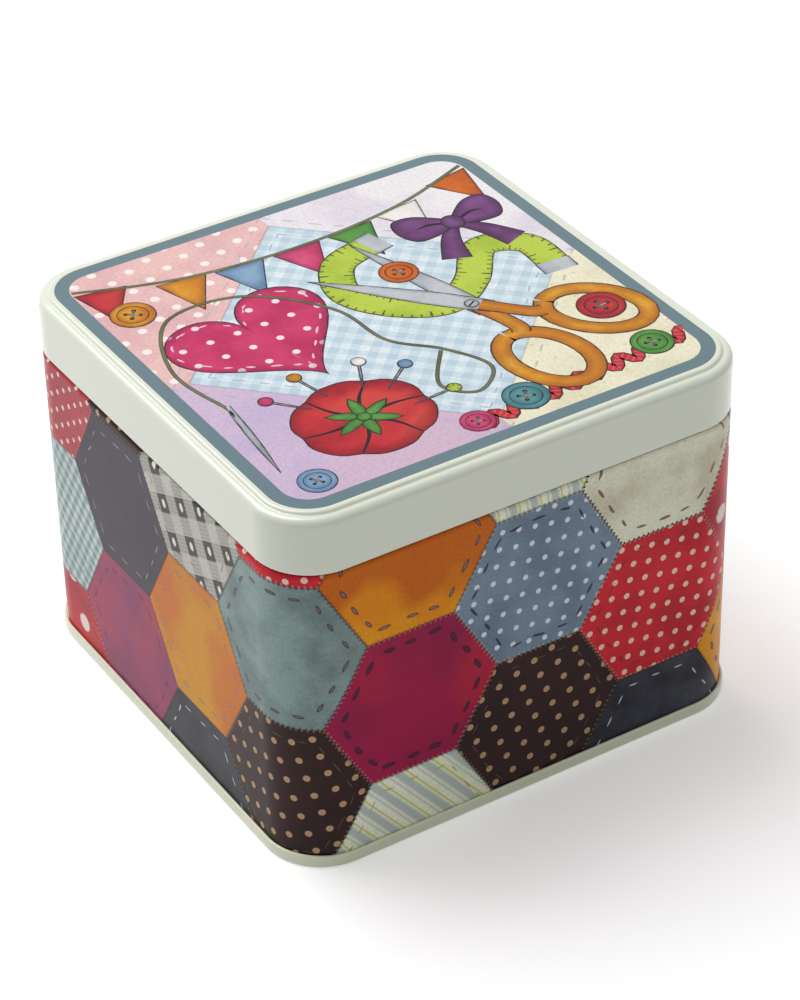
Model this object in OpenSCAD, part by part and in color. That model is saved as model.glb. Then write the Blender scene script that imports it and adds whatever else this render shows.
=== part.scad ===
// Square sewing tin with rounded corners, a seamed-in base and a lid that lifts straight off.
// The front face looks along -Y, the origin is the middle of the footprint and +Z is up.
// Every sheet is drawn as it is bent: a section that runs and turns, swept round the rounded square.

/* [Body] */
// Width of the body across its side walls
body_w = 125; // [80:1:200]
// Depth of the body from its front wall to its back wall
body_d = 125; // [80:1:200]
// Height of the whole tin, from the foot to the lid's panel
tin_h = 97; // [60:1:160]
// Radius of the body's upright corners, on the outside
corner_r = 14.5; // [10:0.5:30]
// Thickness of the tinplate
sheet_t = 0.28; // [0.2:0.02:0.4]

/* [Lid] */
// Height of the lid, from the rolled edge to its panel
lid_h = 15.2; // [10:0.2:25]
// Height of the step between the lid's ring and its raised panel
lid_step_h = 0.8; // [0.4:0.1:1.5]
// Inside radius of the two bends of that step
lid_step_r = 0.55; // [0.3:0.05:1]
// Slope of the step, from the level
lid_step_slope = 60; // [45:5:80]
// Outside radius of the rounding from the skirt to the ring
lid_edge_r = 1.8; // [1.2:0.1:3]
// Flat width of the ring between the rounding and the step
lid_ring_w = 0.25; // [0.1:0.05:2]
// Diameter of the roll at the skirt's lower edge
lid_roll_d = 1.5; // [1.2:0.1:2.5]

/* [Neck] */
// Gap between the lid's roll and the neck, all the way round
neck_gap = 0.3; // [0.2:0.05:0.6]
// Gap under the lid's edge, above the shoulder
shoulder_gap = 0.3; // [0.2:0.05:0.8]
// Gap between the top of the neck and the lid
neck_top_gap = 0.3; // [0.2:0.05:1]
// Inside radius of the shoulder's bend
shoulder_r = 0.55; // [0.3:0.05:1]
// Inside radius of the bend from the shoulder up into the neck
neck_bend_r = 0.4; // [0.2:0.05:0.8]
// Diameter of the roll at the top of the neck
neck_roll_d = 1.5; // [1.2:0.1:2.5]

/* [Base] */
// Height of the double seam that joins the base to the wall
seam_h = 3.2; // [2.6:0.1:4.5]
// Height of the base panel above the foot, on its upper face
base_h = 4; // [3.6:0.1:8]
// Gap between the layers of a seam
seam_gap = 0.03; // [0.02:0.01:0.05]
// Inside radius of the bends at the foot of the seam
foot_r = 0.3; // [0.2:0.02:0.36]
// Inside radius of the bend from the seam into the base panel
chuck_r = 0.5; // [0.3:0.05:1]
// How far the hooks of the seam reach into each other
hook_lap = 1.3; // [0.8:0.1:1.4]
// Width of the flat margin between the seam and the stiffening step
base_margin_w = 5; // [3:0.5:7]
// Height of the stiffening step of the base panel
base_step_h = 1; // [0.6:0.1:1.6]
// Inside radius of the two bends of that step
base_step_r = 0.7; // [0.4:0.1:1.2]

/* [Side seam] */
// Width of the lock seam on the back wall
lock_w = 4; // [3:0.25:6]
// Plain wall left below the lock seam and above it
lock_end = 3; // [2:0.5:8]
// Slope of the jog that takes the wall behind the lock seam
lock_slope = 60; // [45:5:75]
// Inside radius of the bends of that jog
lock_bend_r = 0.3; // [0.2:0.05:0.6]

/* [Hidden] */
$fn = 64;

CREAM = "#e1e6d7";
PRINT = "#8d4a52";
full_turn = 360;
half_turn = 180;
quarter_turn = 90;
// Most that one facet of a bend turns, and its greatest width
facet_turn = 30;
facet_w = 0.3;
// Flat stretch at the end of a swept section that lies in the plate it carries
plate_lap = 1;

// The lid's levels and the size of its parts
lid_edge_z = tin_h - lid_h;
ring_z = tin_h - lid_step_h;
lid_roll_r = lid_roll_d / 2;
lid_roll_turn = 250;
lid_skirt_run = ring_z - lid_edge_z - lid_roll_r - lid_edge_r;

// The neck stands inside the lid's roll, and the shoulder carries it
neck_inset = lid_roll_d + neck_gap;
shoulder_z = lid_edge_z - shoulder_gap;
shoulder_run = neck_inset - shoulder_r - sheet_t - neck_bend_r;
neck_top_z = ring_z - sheet_t - neck_top_gap;
neck_roll_r = neck_roll_d / 2;
neck_roll_turn = 270;
neck_run = neck_top_z - neck_roll_r - shoulder_z - neck_bend_r;

// The layers of the double seam, counted outwards from the wall's outer face
hook_bend_r = sheet_t / 2 + seam_gap;
hook_x = 2 * hook_bend_r;
seam_out_x = hook_x + 2 * sheet_t + seam_gap;
chuck_x = -sheet_t - seam_gap;
foot_inner_w = seam_out_x - sheet_t - chuck_x;
foot_run = foot_inner_w - 2 * foot_r;
hook_bottom_z = 2 * sheet_t + seam_gap + hook_bend_r;
seam_top_bend_z = seam_h - sheet_t - hook_bend_r;
hook_free = (seam_top_bend_z - hook_bottom_z - hook_lap) / 2;
body_hook_run = hook_lap + hook_free;
cover_hook_run = hook_lap + hook_free;
seam_wall_run = seam_top_bend_z - foot_r - sheet_t;
chuck_run = base_h - sheet_t - chuck_r - foot_r - sheet_t;

// The base panel's plate lies inside the stiffening step
base_edge_x = chuck_x - sheet_t - chuck_r;
base_step_slope = 60;

// The lock seam lies inside the back wall, four layers deep
lock_fold_r = sheet_t / 2 + seam_gap;
lock_depth = 3 * (sheet_t + seam_gap);
lock_from_z = base_h + lock_end;
lock_to_z = shoulder_z - lock_end - shoulder_r;
lock_hook_run = lock_w - 2 * (lock_fold_r + sheet_t);
lock_jog_run = jog_run(lock_depth, lock_bend_r, lock_slope);
lock_jog_w = jog_width(lock_depth, lock_bend_r, lock_slope);
lock_side_run = 1;

// Straight run between the two bends of a jog, so that it shifts the sheet by its height
function jog_run(height, r, slope) =
    (height - (2 * r + sheet_t) * (1 - cos(slope))) / sin(slope);

// Length of a jog along the sheet that it shifts
function jog_width(height, r, slope) =
    (2 * r + sheet_t) * sin(slope) + jog_run(height, r, slope) * cos(slope);

// Flat plate outline with round corners
module rounded_square(w, d, r) {
    square([w - 2 * r, d], center = true);
    square([w, d - 2 * r], center = true);
    for (x = [-1, 1], y = [-1, 1])
        translate([x * (w / 2 - r), y * (d / 2 - r)])
            circle(r);
}

// Unit vector to the left of a heading
function left_of(heading) = [-sin(heading), cos(heading)];

// Number of facets in a bend
function bend_facets(turn, r) =
    max(ceil(abs(turn) / facet_turn), ceil(abs(turn) / full_turn * 2 * PI * (r + sheet_t) / facet_w));

// Points along one face of a bent sheet, at a distance to the left of the path
function face_points(steps, offset, at, heading, i = 0) =
    i == len(steps) ? [] :
    let (
        run = steps[i][0],
        turn = steps[i][1],
        r = turn > 0 ? -steps[i][2] - sheet_t : steps[i][2],
        corner = at + run * [cos(heading), sin(heading)],
        centre = corner - r * left_of(heading),
        facets = bend_facets(turn, steps[i][2])
    )
    concat(
        run > 0 ? [corner + offset * left_of(heading)] : [],
        turn == 0 ? [] :
            [for (k = [1:facets]) centre + (r + offset) * left_of(heading + turn * k / facets)],
        face_points(steps, offset, centre + r * left_of(heading + turn), heading + turn, i + 1)
    );

// Section of a bent sheet, along a path with the sheet on its left.
// Each step is a straight run, a turn (left is positive) and the inside radius of that turn.
module bent_sheet(steps, start, heading) {
    path_face = concat([start], face_points(steps, 0, start, heading));
    first = start + sheet_t * left_of(heading);
    far_face = concat([first], face_points(steps, sheet_t, start, heading));
    polygon(concat(path_face, [for (k = [len(far_face) - 1:-1:0]) far_face[k]]));
}

// Sweeps a section round the tin. Its x counts outwards from the wall's outer face, its y is height.
module round_the_tin() {
    for (side = [0:3]) {
        out = side % 2 == 0 ? body_w / 2 : body_d / 2;
        along = (side % 2 == 0 ? body_d : body_w) - 2 * corner_r;
        rotate(side * quarter_turn)
            translate([out, along / 2, 0])
                rotate([quarter_turn, 0, 0])
                    linear_extrude(along)
                        children();
        x = (side == 0 || side == 3 ? 1 : -1) * (body_w / 2 - corner_r);
        y = (side < 2 ? 1 : -1) * (body_d / 2 - corner_r);
        translate([x, y, 0])
            rotate(side * quarter_turn)
                rotate_extrude(angle = quarter_turn)
                    translate([corner_r, 0])
                        children();
    }
}

// Flat plate that fills the tin up to a distance from the wall's outer face
module plate(inset) {
    linear_extrude(sheet_t)
        rounded_square(body_w - 2 * inset, body_d - 2 * inset, corner_r - inset);
}

// Section of the wall: body hook, upright wall, shoulder, neck and the roll at the top of the neck
module wall_section() {
    bent_sheet(
        [
            [body_hook_run, -half_turn, hook_bend_r],
            [shoulder_z - hook_bottom_z - shoulder_r - sheet_t, quarter_turn, shoulder_r],
            [shoulder_run, -quarter_turn, neck_bend_r],
            [neck_run, neck_roll_turn, neck_roll_r - sheet_t],
        ],
        [hook_x, hook_bottom_z + body_hook_run],
        -quarter_turn
    );
}

// The edge of the wall that folds back inside, seen from above with the inside of the tin on its left
module lock_outer_edge() {
    bent_sheet(
        [
            [lock_side_run + lock_w - lock_fold_r - sheet_t, half_turn, lock_fold_r],
            [lock_hook_run, 0, 0],
        ],
        [0, -lock_w / 2 - lock_side_run],
        quarter_turn
    );
}

// The edge of the wall that passes behind the fold and hooks into it
module lock_inner_edge() {
    mirror([0, 1])
        bent_sheet(
            [
                [lock_side_run, lock_slope, lock_bend_r],
                [lock_jog_run, -lock_slope, lock_bend_r],
                [lock_w - lock_fold_r - sheet_t, -half_turn, lock_fold_r],
                [lock_hook_run, 0, 0],
            ],
            [0, -lock_w / 2 - seam_gap - lock_jog_w - lock_side_run],
            quarter_turn
        );
}

// Stretch of the back wall that the lock seam takes up, from its plain side to its far side
module lock_window() {
    translate([-2 * sheet_t, -lock_w / 2, 0])
        square([4 * sheet_t, lock_w + seam_gap + lock_jog_w]);
}

// Printed wall: one strip of tinplate, closed by the lock seam and stepped in at the top
module body_wall() {
    color(PRINT) {
        difference() {
            round_the_tin()
                wall_section();
            translate([0, body_d / 2, lock_from_z])
                linear_extrude(lock_to_z - lock_from_z)
                    rotate(quarter_turn)
                        lock_window();
        }
        translate([0, body_d / 2, lock_from_z])
            linear_extrude(lock_to_z - lock_from_z)
                rotate(quarter_turn) {
                    lock_outer_edge();
                    lock_inner_edge();
                }
    }
}

// Base: a pressed panel whose edge is rolled together with the foot of the wall
module base_panel() {
    step_w = jog_width(base_step_h, base_step_r, base_step_slope);
    plate_x = base_edge_x - base_margin_w - step_w;
    color(CREAM) {
        round_the_tin()
            bent_sheet(
                [
                    [plate_lap, -base_step_slope, base_step_r],
                    [jog_run(base_step_h, base_step_r, base_step_slope), base_step_slope, base_step_r],
                    [base_margin_w, -quarter_turn, chuck_r],
                    [chuck_run, quarter_turn, foot_r],
                    [foot_run, quarter_turn, foot_r],
                    [seam_wall_run, half_turn, hook_bend_r],
                    [cover_hook_run, 0, 0],
                ],
                [plate_x - plate_lap, base_h + base_step_h - sheet_t],
                0
            );
        translate([0, 0, base_h + base_step_h - sheet_t])
            plate(-plate_x);
    }
}

// Lid: a drawn cap with a rolled lower edge, a ring and a raised panel
module lid() {
    step_w = jog_width(lid_step_h, lid_step_r, lid_step_slope);
    roll_start = [-lid_roll_r, lid_edge_z + lid_roll_r]
        + lid_roll_r * [cos(lid_roll_turn), -sin(lid_roll_turn)];
    color(CREAM) {
        round_the_tin()
            bent_sheet(
                [
                    [0, lid_roll_turn, lid_roll_r - sheet_t],
                    [lid_skirt_run, quarter_turn, lid_edge_r - sheet_t],
                    [lid_ring_w, -lid_step_slope, lid_step_r],
                    [jog_run(lid_step_h, lid_step_r, lid_step_slope), lid_step_slope, lid_step_r],
                    [plate_lap, 0, 0],
                ],
                roll_start,
                quarter_turn - lid_roll_turn
            );
        translate([0, 0, tin_h - sheet_t])
            plate(lid_edge_r + lid_ring_w + step_w);
    }
}

body_wall();
base_panel();
lid();
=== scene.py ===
"""Looks of a square sewing tin: printed walls, cream lid and base, and a printed picture on the lid.

Each sheet of the tin starts as a flat blank, is cut along its bends and its print, and is then bent round
the rounded square. Sizes are in millimetres, apart from Blender's own coordinates, which are in metres.
"""

import logging
import math
from dataclasses import dataclass, field
from enum import Enum
from itertools import accumulate
from typing import Callable, Iterable, Protocol, Sequence

import bpy
from mathutils import Matrix, Vector

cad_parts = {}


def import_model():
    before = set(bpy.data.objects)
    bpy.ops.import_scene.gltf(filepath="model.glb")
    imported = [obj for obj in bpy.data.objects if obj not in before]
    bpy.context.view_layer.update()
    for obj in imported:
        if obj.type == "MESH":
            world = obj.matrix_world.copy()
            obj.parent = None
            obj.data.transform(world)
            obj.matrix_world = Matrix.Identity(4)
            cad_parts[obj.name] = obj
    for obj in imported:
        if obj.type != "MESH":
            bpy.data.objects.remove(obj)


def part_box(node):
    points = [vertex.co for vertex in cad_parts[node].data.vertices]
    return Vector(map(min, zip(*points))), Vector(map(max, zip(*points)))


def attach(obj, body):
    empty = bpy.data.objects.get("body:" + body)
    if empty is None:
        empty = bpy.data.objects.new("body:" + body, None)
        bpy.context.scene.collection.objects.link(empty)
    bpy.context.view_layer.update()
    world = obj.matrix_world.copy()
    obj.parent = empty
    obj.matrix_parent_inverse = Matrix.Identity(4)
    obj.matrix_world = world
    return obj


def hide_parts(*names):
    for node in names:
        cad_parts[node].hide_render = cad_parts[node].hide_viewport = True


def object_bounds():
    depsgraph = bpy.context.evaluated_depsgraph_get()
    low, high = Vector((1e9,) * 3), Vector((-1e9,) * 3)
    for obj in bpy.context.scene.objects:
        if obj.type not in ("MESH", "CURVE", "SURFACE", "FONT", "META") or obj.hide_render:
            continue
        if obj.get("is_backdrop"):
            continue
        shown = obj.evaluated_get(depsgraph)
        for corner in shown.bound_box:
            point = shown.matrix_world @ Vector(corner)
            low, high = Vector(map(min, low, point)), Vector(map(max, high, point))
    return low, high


LOG = logging.getLogger("sewing_tin")
MM = 0.001
CUT_SNAP = 2e-3
STITCH_EVERY = 6.35
SPOT_EDGE = (0.88, 1.08)
INK = "#2b2125"
MATH = "ShaderNodeMath"
VECTOR_MATH = "ShaderNodeVectorMath"
MIX = "ShaderNodeMix"
NOISE = "ShaderNodeTexNoise"
RAMP = "ShaderNodeMapRange"
UV_MAP = "ShaderNodeUVMap"
COORDS = "ShaderNodeTexCoord"
BUMP = "ShaderNodeBump"
AXES = "ShaderNodeSeparateXYZ"
PRINCIPLED = "ShaderNodeBsdfPrincipled"
OUTPUT = "ShaderNodeOutputMaterial"

Point = tuple[float, float]
Line = tuple[float, float, float, float]
Colour = tuple[float, float, float, float]
Socket = bpy.types.NodeSocket
Piece = bpy.types.Object
Finishes = dict[str, bpy.types.Material]


def linear(code: str) -> Colour:
    """Turns an sRGB hex colour to the linear colour that a socket takes.

    Args:
        code: The colour, as #rrggbb.

    Returns:
        Linear red, green, blue and an alpha of 1.
    """
    shares = [int(code[k : k + 2], 16) / 255 for k in (1, 3, 5)]
    return (*(c / 12.92 if c <= 0.04045 else ((c + 0.055) / 1.055) ** 2.4 for c in shares), 1.0)


class Graph:
    """The node tree of one material, or of the world."""

    def __init__(self, owner: bpy.types.Material | bpy.types.World) -> None:
        """Empties a node tree.

        Args:
            owner: The material or the world that has it.
        """
        owner.use_nodes = True
        self.tree = owner.node_tree
        self.tree.nodes.clear()

    def add(
        self, kind: str, inputs: dict | None = None, output: int | str = 0, **settings
    ) -> Socket | None:
        """Adds a node with its settings and links.

        Args:
            kind: Blender's name for the kind of node.
            inputs: Value or linked socket for each input, by number or name.
            output: The output to give back.
            settings: Properties of the node.

        Returns:
            The node's output socket, or None for a node that has none.
        """
        node = self.tree.nodes.new(kind)
        for key, value in settings.items():
            setattr(node, key, value)
        for key, value in (inputs or {}).items():
            if isinstance(value, bpy.types.NodeSocket):
                self.tree.links.new(value, node.inputs[key])
            else:
                node.inputs[key].default_value = value
        return node.outputs[output] if len(node.outputs) else None

    def seen(self) -> Socket:
        """Adds a mask of the rays that the camera follows.

        Returns:
            A mask that is 1 on rays from the camera, straight, mirrored or through glass.
        """
        mask: Socket | float = 0.0
        for ray in ("Is Camera Ray", "Is Glossy Ray", "Is Transmission Ray"):
            this = self.add("ShaderNodeLightPath", output=ray)
            mask = self.add(MATH, {0: mask, 1: this}, operation="MAXIMUM")
        return mask

    def cell(self, where: Socket, pitch: float) -> Socket:
        """Adds the place inside one repeat of a square pattern.

        Args:
            where: Place on the surface.
            pitch: Length of a repeat.

        Returns:
            The place, from -0.5 to 0.5 of a repeat both ways.
        """
        scaled = self.add(VECTOR_MATH, {0: where, "Scale": 1 / pitch}, operation="SCALE")
        share = self.add(VECTOR_MATH, {0: scaled}, operation="FRACTION")
        return self.add(VECTOR_MATH, {0: share, 1: (0.5, 0.5, 0.0)}, operation="SUBTRACT")

    def spot(self, place: Socket, half: Point, centre: Point = (0.0, 0.0)) -> Socket:
        """Adds a soft-edged oval.

        Args:
            place: Place that the oval is measured in.
            half: The oval's half width and half height.
            centre: Middle of the oval.

        Returns:
            A mask that is 1 in the oval.
        """
        moved = self.add(VECTOR_MATH, {0: place, 1: (*centre, 0.0)}, operation="SUBTRACT")
        sized = self.add(VECTOR_MATH, {0: moved, 1: (1 / half[0], 1 / half[1], 0.0)}, operation="MULTIPLY")
        far = self.add(VECTOR_MATH, {0: sized}, output="Value", operation="LENGTH")
        return self.add(RAMP, {"Value": far, 1: SPOT_EDGE[0], 2: SPOT_EDGE[1], 3: 1.0, 4: 0.0})

    def line(self, value: Socket, half: float, soft: float = 0.3) -> Socket:
        """Adds a mask that is 1 where a value lies within half a line's width of nought."""
        near = self.add(MATH, {0: value}, operation="ABSOLUTE")
        return self.add(RAMP, {"Value": near, 1: half * (1 - soft), 2: half * (1 + soft), 3: 1.0, 4: 0.0})

    def over(self, mask: Socket, below: Socket | Colour, colour: str, shows: float = 1.0) -> Socket:
        """Adds one ink over the colours below it, where the mask is 1."""
        share = self.add(MATH, {0: mask, 1: shows}, operation="MULTIPLY")
        return self.add(MIX, {"Factor": share, 6: below, 7: linear(colour)}, output=2, data_type="RGBA")


@dataclass(frozen=True)
class Lacquer:
    """Stoved gloss enamel on tinplate: an even, slightly wavy skin that the roller coater leaves."""

    name: str
    colour: str
    tint: str
    roughness: float = 0.32
    gloss: float = 0.6
    gloss_roughness: float = 0.1
    wave_mm: float = 2.2
    wave_height_mm: float = 0.004
    tint_mm: float = 38.0

    def make(self) -> bpy.types.Material:
        """Builds the material.

        Returns:
            The material.
        """
        material = bpy.data.materials.new(self.name)
        graph = Graph(material)
        place = graph.add(COORDS, output="Object")
        drift = graph.add(NOISE, {"Vector": place, "Scale": 1 / (self.tint_mm * MM), "Detail": 3.0})
        inks = {"Factor": drift, 6: linear(self.colour), 7: linear(self.tint)}
        colour = graph.add(MIX, inks, output=2, data_type="RGBA")
        wave = graph.add(NOISE, {"Vector": place, "Scale": 1 / (self.wave_mm * MM), "Detail": 1.0})
        bump = graph.add(BUMP, {"Height": wave, "Distance": self.wave_height_mm * MM})
        skin = {
            "Base Color": colour,
            "Roughness": self.roughness,
            "Coat Weight": self.gloss,
            "Coat Roughness": self.gloss_roughness,
            "Normal": bump,
            "Coat Normal": bump,
        }
        graph.add(OUTPUT, {"Surface": graph.add(PRINCIPLED, skin)})
        return material


@dataclass(frozen=True)
class Tinplate:
    """Bare electrolytic tinplate: bright tin over steel with the fine upright lines of the rolling mill."""

    name: str
    colour: str = "#e6e4dc"
    dark: str = "#cdcbc2"
    line_mm: float = 0.7
    line_stretch: float = 60.0
    roughness_low: float = 0.26
    roughness_high: float = 0.42

    def make(self) -> bpy.types.Material:
        """Builds the material.

        Returns:
            The material.
        """
        material = bpy.data.materials.new(self.name)
        graph = Graph(material)
        place = graph.add(COORDS, output="Object")
        stretch = (self.line_stretch, self.line_stretch, 1.0)
        mapped = graph.add("ShaderNodeMapping", {"Vector": place, "Scale": stretch})
        size = 1 / (self.line_mm * self.line_stretch * MM)
        lines = graph.add(NOISE, {"Vector": mapped, "Scale": size, "Detail": 3.0})
        inks = {"Factor": lines, 6: linear(self.dark), 7: linear(self.colour)}
        colour = graph.add(MIX, inks, output=2, data_type="RGBA")
        rough = graph.add(RAMP, {"Value": lines, 3: self.roughness_low, 4: self.roughness_high})
        shader = graph.add(PRINCIPLED, {"Base Color": colour, "Metallic": 1.0, "Roughness": rough})
        graph.add(OUTPUT, {"Surface": shader})
        return material


class Pattern(Enum):
    """What a print shows on its ground."""

    PLAIN = "plain"
    DOTS = "dots"
    GINGHAM = "gingham"
    TILES = "tiles"
    STRIPES = "stripes"
    TICKS = "ticks"
    RIBS = "ribs"


@dataclass(frozen=True)
class Band:
    """One stripe of a striped cloth, in shares of the repeat."""

    middle: float
    half: float
    soft: float
    shows: float
    second: bool = False


@dataclass(frozen=True)
class Tick:
    """One row of a tape's ticks: how many pitches lie between two of them, and their length."""

    every: int
    long: float


@dataclass(frozen=True)
class Stitch:
    """A running stitch beside an edge, with a light down the middle of its thread."""

    colour: str
    core: str
    long: float
    wide: float
    inset: float
    shows: float
    sway: Point = (3.4, 2.4)
    sway_per_mm: float = 0.11
    core_share: Point = (0.3125, 0.2)
    core_shows: float = 0.8

    def sew(self, graph: Graph, hem: Socket, below: Socket) -> Socket:
        """Adds the stitches.

        Args:
            graph: The material's node tree.
            hem: Place along the edge and inside it.
            below: The colour below.

        Returns:
            The stitched colour.
        """
        shake = graph.add(NOISE, {"Vector": hem, "Scale": self.sway_per_mm, "Detail": 1.0}, output="Color")
        moved = graph.add(VECTOR_MATH, {0: shake, 1: (*self.sway, 0.0), 2: hem}, operation="MULTIPLY_ADD")
        along = graph.add(MATH, {0: graph.add(AXES, {0: moved}), 1: STITCH_EVERY}, operation="MODULO")
        place = graph.add("ShaderNodeCombineXYZ", {0: along, 1: graph.add(AXES, {0: moved}, output="Y")})
        # The noise is about a half, so the thread's place moves on by half the sway
        centre = (self.sway[0] / 2, self.inset + self.sway[1] / 2)
        thread = graph.spot(place, (self.long / 2, self.wide / 2), centre)
        half = (self.long * self.core_share[0], self.wide * self.core_share[1])
        light = graph.spot(place, half, centre)
        sewn = graph.over(thread, below, self.colour, self.shows)
        return graph.over(light, sewn, self.core, self.shows * self.core_shows)


@dataclass(frozen=True, kw_only=True)
class Printed:
    """Offset print on tinplate under a gloss varnish, which hides the grain of the metal.

    The varnish mirrors a little at a flat angle and leaves the inks deep in colour. Patterns read the map
    "cloth", and whatever follows an edge reads the map "hem": the place along the edge and the depth inside
    it. Both are in millimetres.
    """

    name: str
    ground: str
    blot: str
    how: str = "printed"
    glaze: str | None = None
    pattern: Pattern = Pattern.PLAIN
    ink: str = "#ffffff"
    second: str | None = None
    pitch: float = 5.0
    dot: float = 0.95
    dot_middle: float = 0.42
    dot_shows: Point = (0.92, 0.5)
    bands: tuple[Band, ...] = (
        Band(0.0, 0.18, 0.35, 0.75),
        Band(-0.33, 0.05, 0.6, 0.5),
        Band(0.31, 0.045, 0.3, 0.75, second=True),
    )
    check_shows: float = 0.9
    wefts: int = 10
    weft_line: float = 0.05
    hatch: Point = (0.75, 1.25)
    window: str = "#f4f2ea"
    window_half: Point = (0.085, 0.12)
    window_at: Point = (0.26, 0.25)
    window_shows: float = 0.95
    rib_edge: Point = (0.1, 0.9)
    rib_shows: float = 0.7
    ticks: tuple[Tick, ...] = (Tick(1, 1.5), Tick(5, 2.6))
    tick_half: float = 0.22
    tick_shows: float = 0.85
    blot_mm: float = 14.0
    blot_edge: Point = (0.42, 0.62)
    glaze_edge: Point = (0.49, 0.61)
    glaze_shows: float = 0.8
    glaze_apart: tuple[float, float, float] = (71.0, 43.0, 9.0)
    grain: float = 0.09
    grain_mm: float = 0.8
    wave_mm: float = 2.4
    wave_height_mm: float = 0.004
    roughness: float = 0.34
    gleam: float = 0.05
    varnish: float = 0.16
    varnish_roughness: float = 0.07

    def washed(self, graph: Graph, where: Socket) -> Socket:
        """Adds the blotted wash of colour under the pattern.

        Args:
            graph: The material's node tree.
            where: Place on the cloth.

        Returns:
            The wash's colour.
        """
        cloud = {"Vector": where, "Scale": 1 / self.blot_mm, "Detail": 5.0, "Roughness": 0.55}
        low, high = self.blot_edge
        share = graph.add(RAMP, {"Value": graph.add(NOISE, cloud), 1: low, 2: high})
        wash = graph.over(share, linear(self.ground), self.blot)
        if self.glaze:
            # A second brush load dries with an edge of its own
            apart = graph.add(VECTOR_MATH, {0: where, 1: self.glaze_apart}, operation="ADD")
            brush = {"Vector": apart, "Scale": 0.8 / self.blot_mm, "Detail": 2.0, "Roughness": 0.4}
            low, high = self.glaze_edge
            pool = graph.add(RAMP, {"Value": graph.add(NOISE, brush), 1: low, 2: high})
            wash = graph.over(pool, wash, self.glaze, self.glaze_shows)
        # Threads of 0.3 mm would be lost at this size, so the grain is drawn at 0.8 mm
        thread = graph.add(NOISE, {"Vector": where, "Scale": 1 / self.grain_mm, "Detail": 2.0})
        light = graph.add(RAMP, {"Value": thread, 1: 0.3, 2: 0.7, 3: 1 - self.grain, 4: 1 + self.grain})
        return graph.add(VECTOR_MATH, {0: wash, "Scale": light}, operation="SCALE")

    def dotted(self, graph: Graph, place: Socket, ground: Socket) -> Socket:
        """Adds a round spot to each repeat, with a middle in the second ink.

        Args:
            graph: The material's node tree.
            place: Place inside the repeat.
            ground: The colour below.

        Returns:
            The spotted colour.
        """
        size = self.dot / self.pitch
        inner = size * self.dot_middle
        dotted = graph.over(graph.spot(place, (size, size)), ground, self.ink, self.dot_shows[0])
        middle = graph.spot(place, (inner, inner))
        return graph.over(middle, dotted, self.second or self.ink, self.dot_shows[1])

    def striped(self, graph: Graph, place: Socket, ground: Socket) -> Socket:
        """Adds the stripes of a shirting.

        Args:
            graph: The material's node tree.
            place: Place inside the repeat.
            ground: The colour below.

        Returns:
            The striped colour.
        """
        across = graph.add(AXES, {0: place}, output="X")
        for band in self.bands:
            moved = graph.add(MATH, {0: across, 1: band.middle}, operation="SUBTRACT")
            ink = self.second if band.second else self.ink
            ground = graph.over(graph.line(moved, band.half, band.soft), ground, ink, band.shows)
        return ground

    def woven(self, graph: Graph, where: Socket, place: Socket, ground: Socket) -> Socket:
        """Adds a woven check, in which the crossings of warp and weft are darkest.

        Args:
            graph: The material's node tree.
            where: Place on the cloth.
            place: Place inside the repeat.
            ground: The colour below.

        Returns:
            The checked colour.
        """
        warp, weft = (
            graph.add(MATH, {0: graph.add(AXES, {0: place}, output=axis), 1: 0.0}, operation="GREATER_THAN")
            for axis in ("X", "Y")
        )
        both = graph.add(MATH, {0: warp, 1: weft}, operation="ADD")
        half = graph.add(MATH, {0: both, 1: 0.5}, operation="MULTIPLY")
        if self.pattern is Pattern.GINGHAM:
            return graph.over(half, ground, self.ink, self.check_shows)
        # Fine weft lines in the grey bands, then a dark tile with a pale oval where the bands cross
        height = graph.add(AXES, {0: graph.cell(where, self.pitch / self.wefts)}, output="Y")
        thin = graph.add(MATH, {0: height, 1: self.weft_line}, operation="GREATER_THAN")
        hatch = graph.add(RAMP, {"Value": thin, 3: self.hatch[0], 4: self.hatch[1]})
        shade = graph.add(MATH, {0: half, 1: hatch}, operation="MULTIPLY")
        checked = graph.over(shade, ground, self.ink, self.check_shows)
        crossing = graph.add(MATH, {0: warp, 1: weft}, operation="MULTIPLY")
        tiled = graph.over(crossing, checked, self.second, self.check_shows)
        pane = graph.spot(place, self.window_half, self.window_at)
        return graph.over(pane, tiled, self.window, self.window_shows)

    def ribbed(self, graph: Graph, hem: Socket, ground: Socket) -> Socket:
        """Adds the ribs of a knitted band, square to its edge.

        Args:
            graph: The material's node tree.
            hem: Place along the edge and inside it.
            ground: The colour below.

        Returns:
            The ribbed colour.
        """
        along = graph.add(AXES, {0: hem}, output="X")
        turn = graph.add(MATH, {0: along, 1: 2 * math.pi / self.pitch}, operation="MULTIPLY")
        wave = graph.add(MATH, {0: turn}, operation="SINE")
        rib = graph.add(RAMP, {"Value": wave, 1: self.rib_edge[0], 2: self.rib_edge[1]})
        return graph.over(rib, ground, self.ink, self.rib_shows)

    def ticked(self, graph: Graph, hem: Socket, ground: Socket) -> Socket:
        """Adds the ticks of a tape measure, square to its edge.

        Args:
            graph: The material's node tree.
            hem: Place along the edge and inside it.
            ground: The colour below.

        Returns:
            The ticked colour.
        """
        along = graph.add(AXES, {0: hem}, output="X")
        depth = graph.add(AXES, {0: hem}, output="Y")
        for tick in self.ticks:
            every = self.pitch * tick.every
            share = graph.add(MATH, {0: along, 1: every}, operation="MODULO")
            middle = graph.add(MATH, {0: share, 1: every / 2}, operation="SUBTRACT")
            short = graph.add(MATH, {0: depth, 1: tick.long}, operation="LESS_THAN")
            line = graph.line(middle, self.tick_half)
            mark = graph.add(MATH, {0: line, 1: short}, operation="MULTIPLY")
            ground = graph.over(mark, ground, self.ink, self.tick_shows)
        return ground

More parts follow.
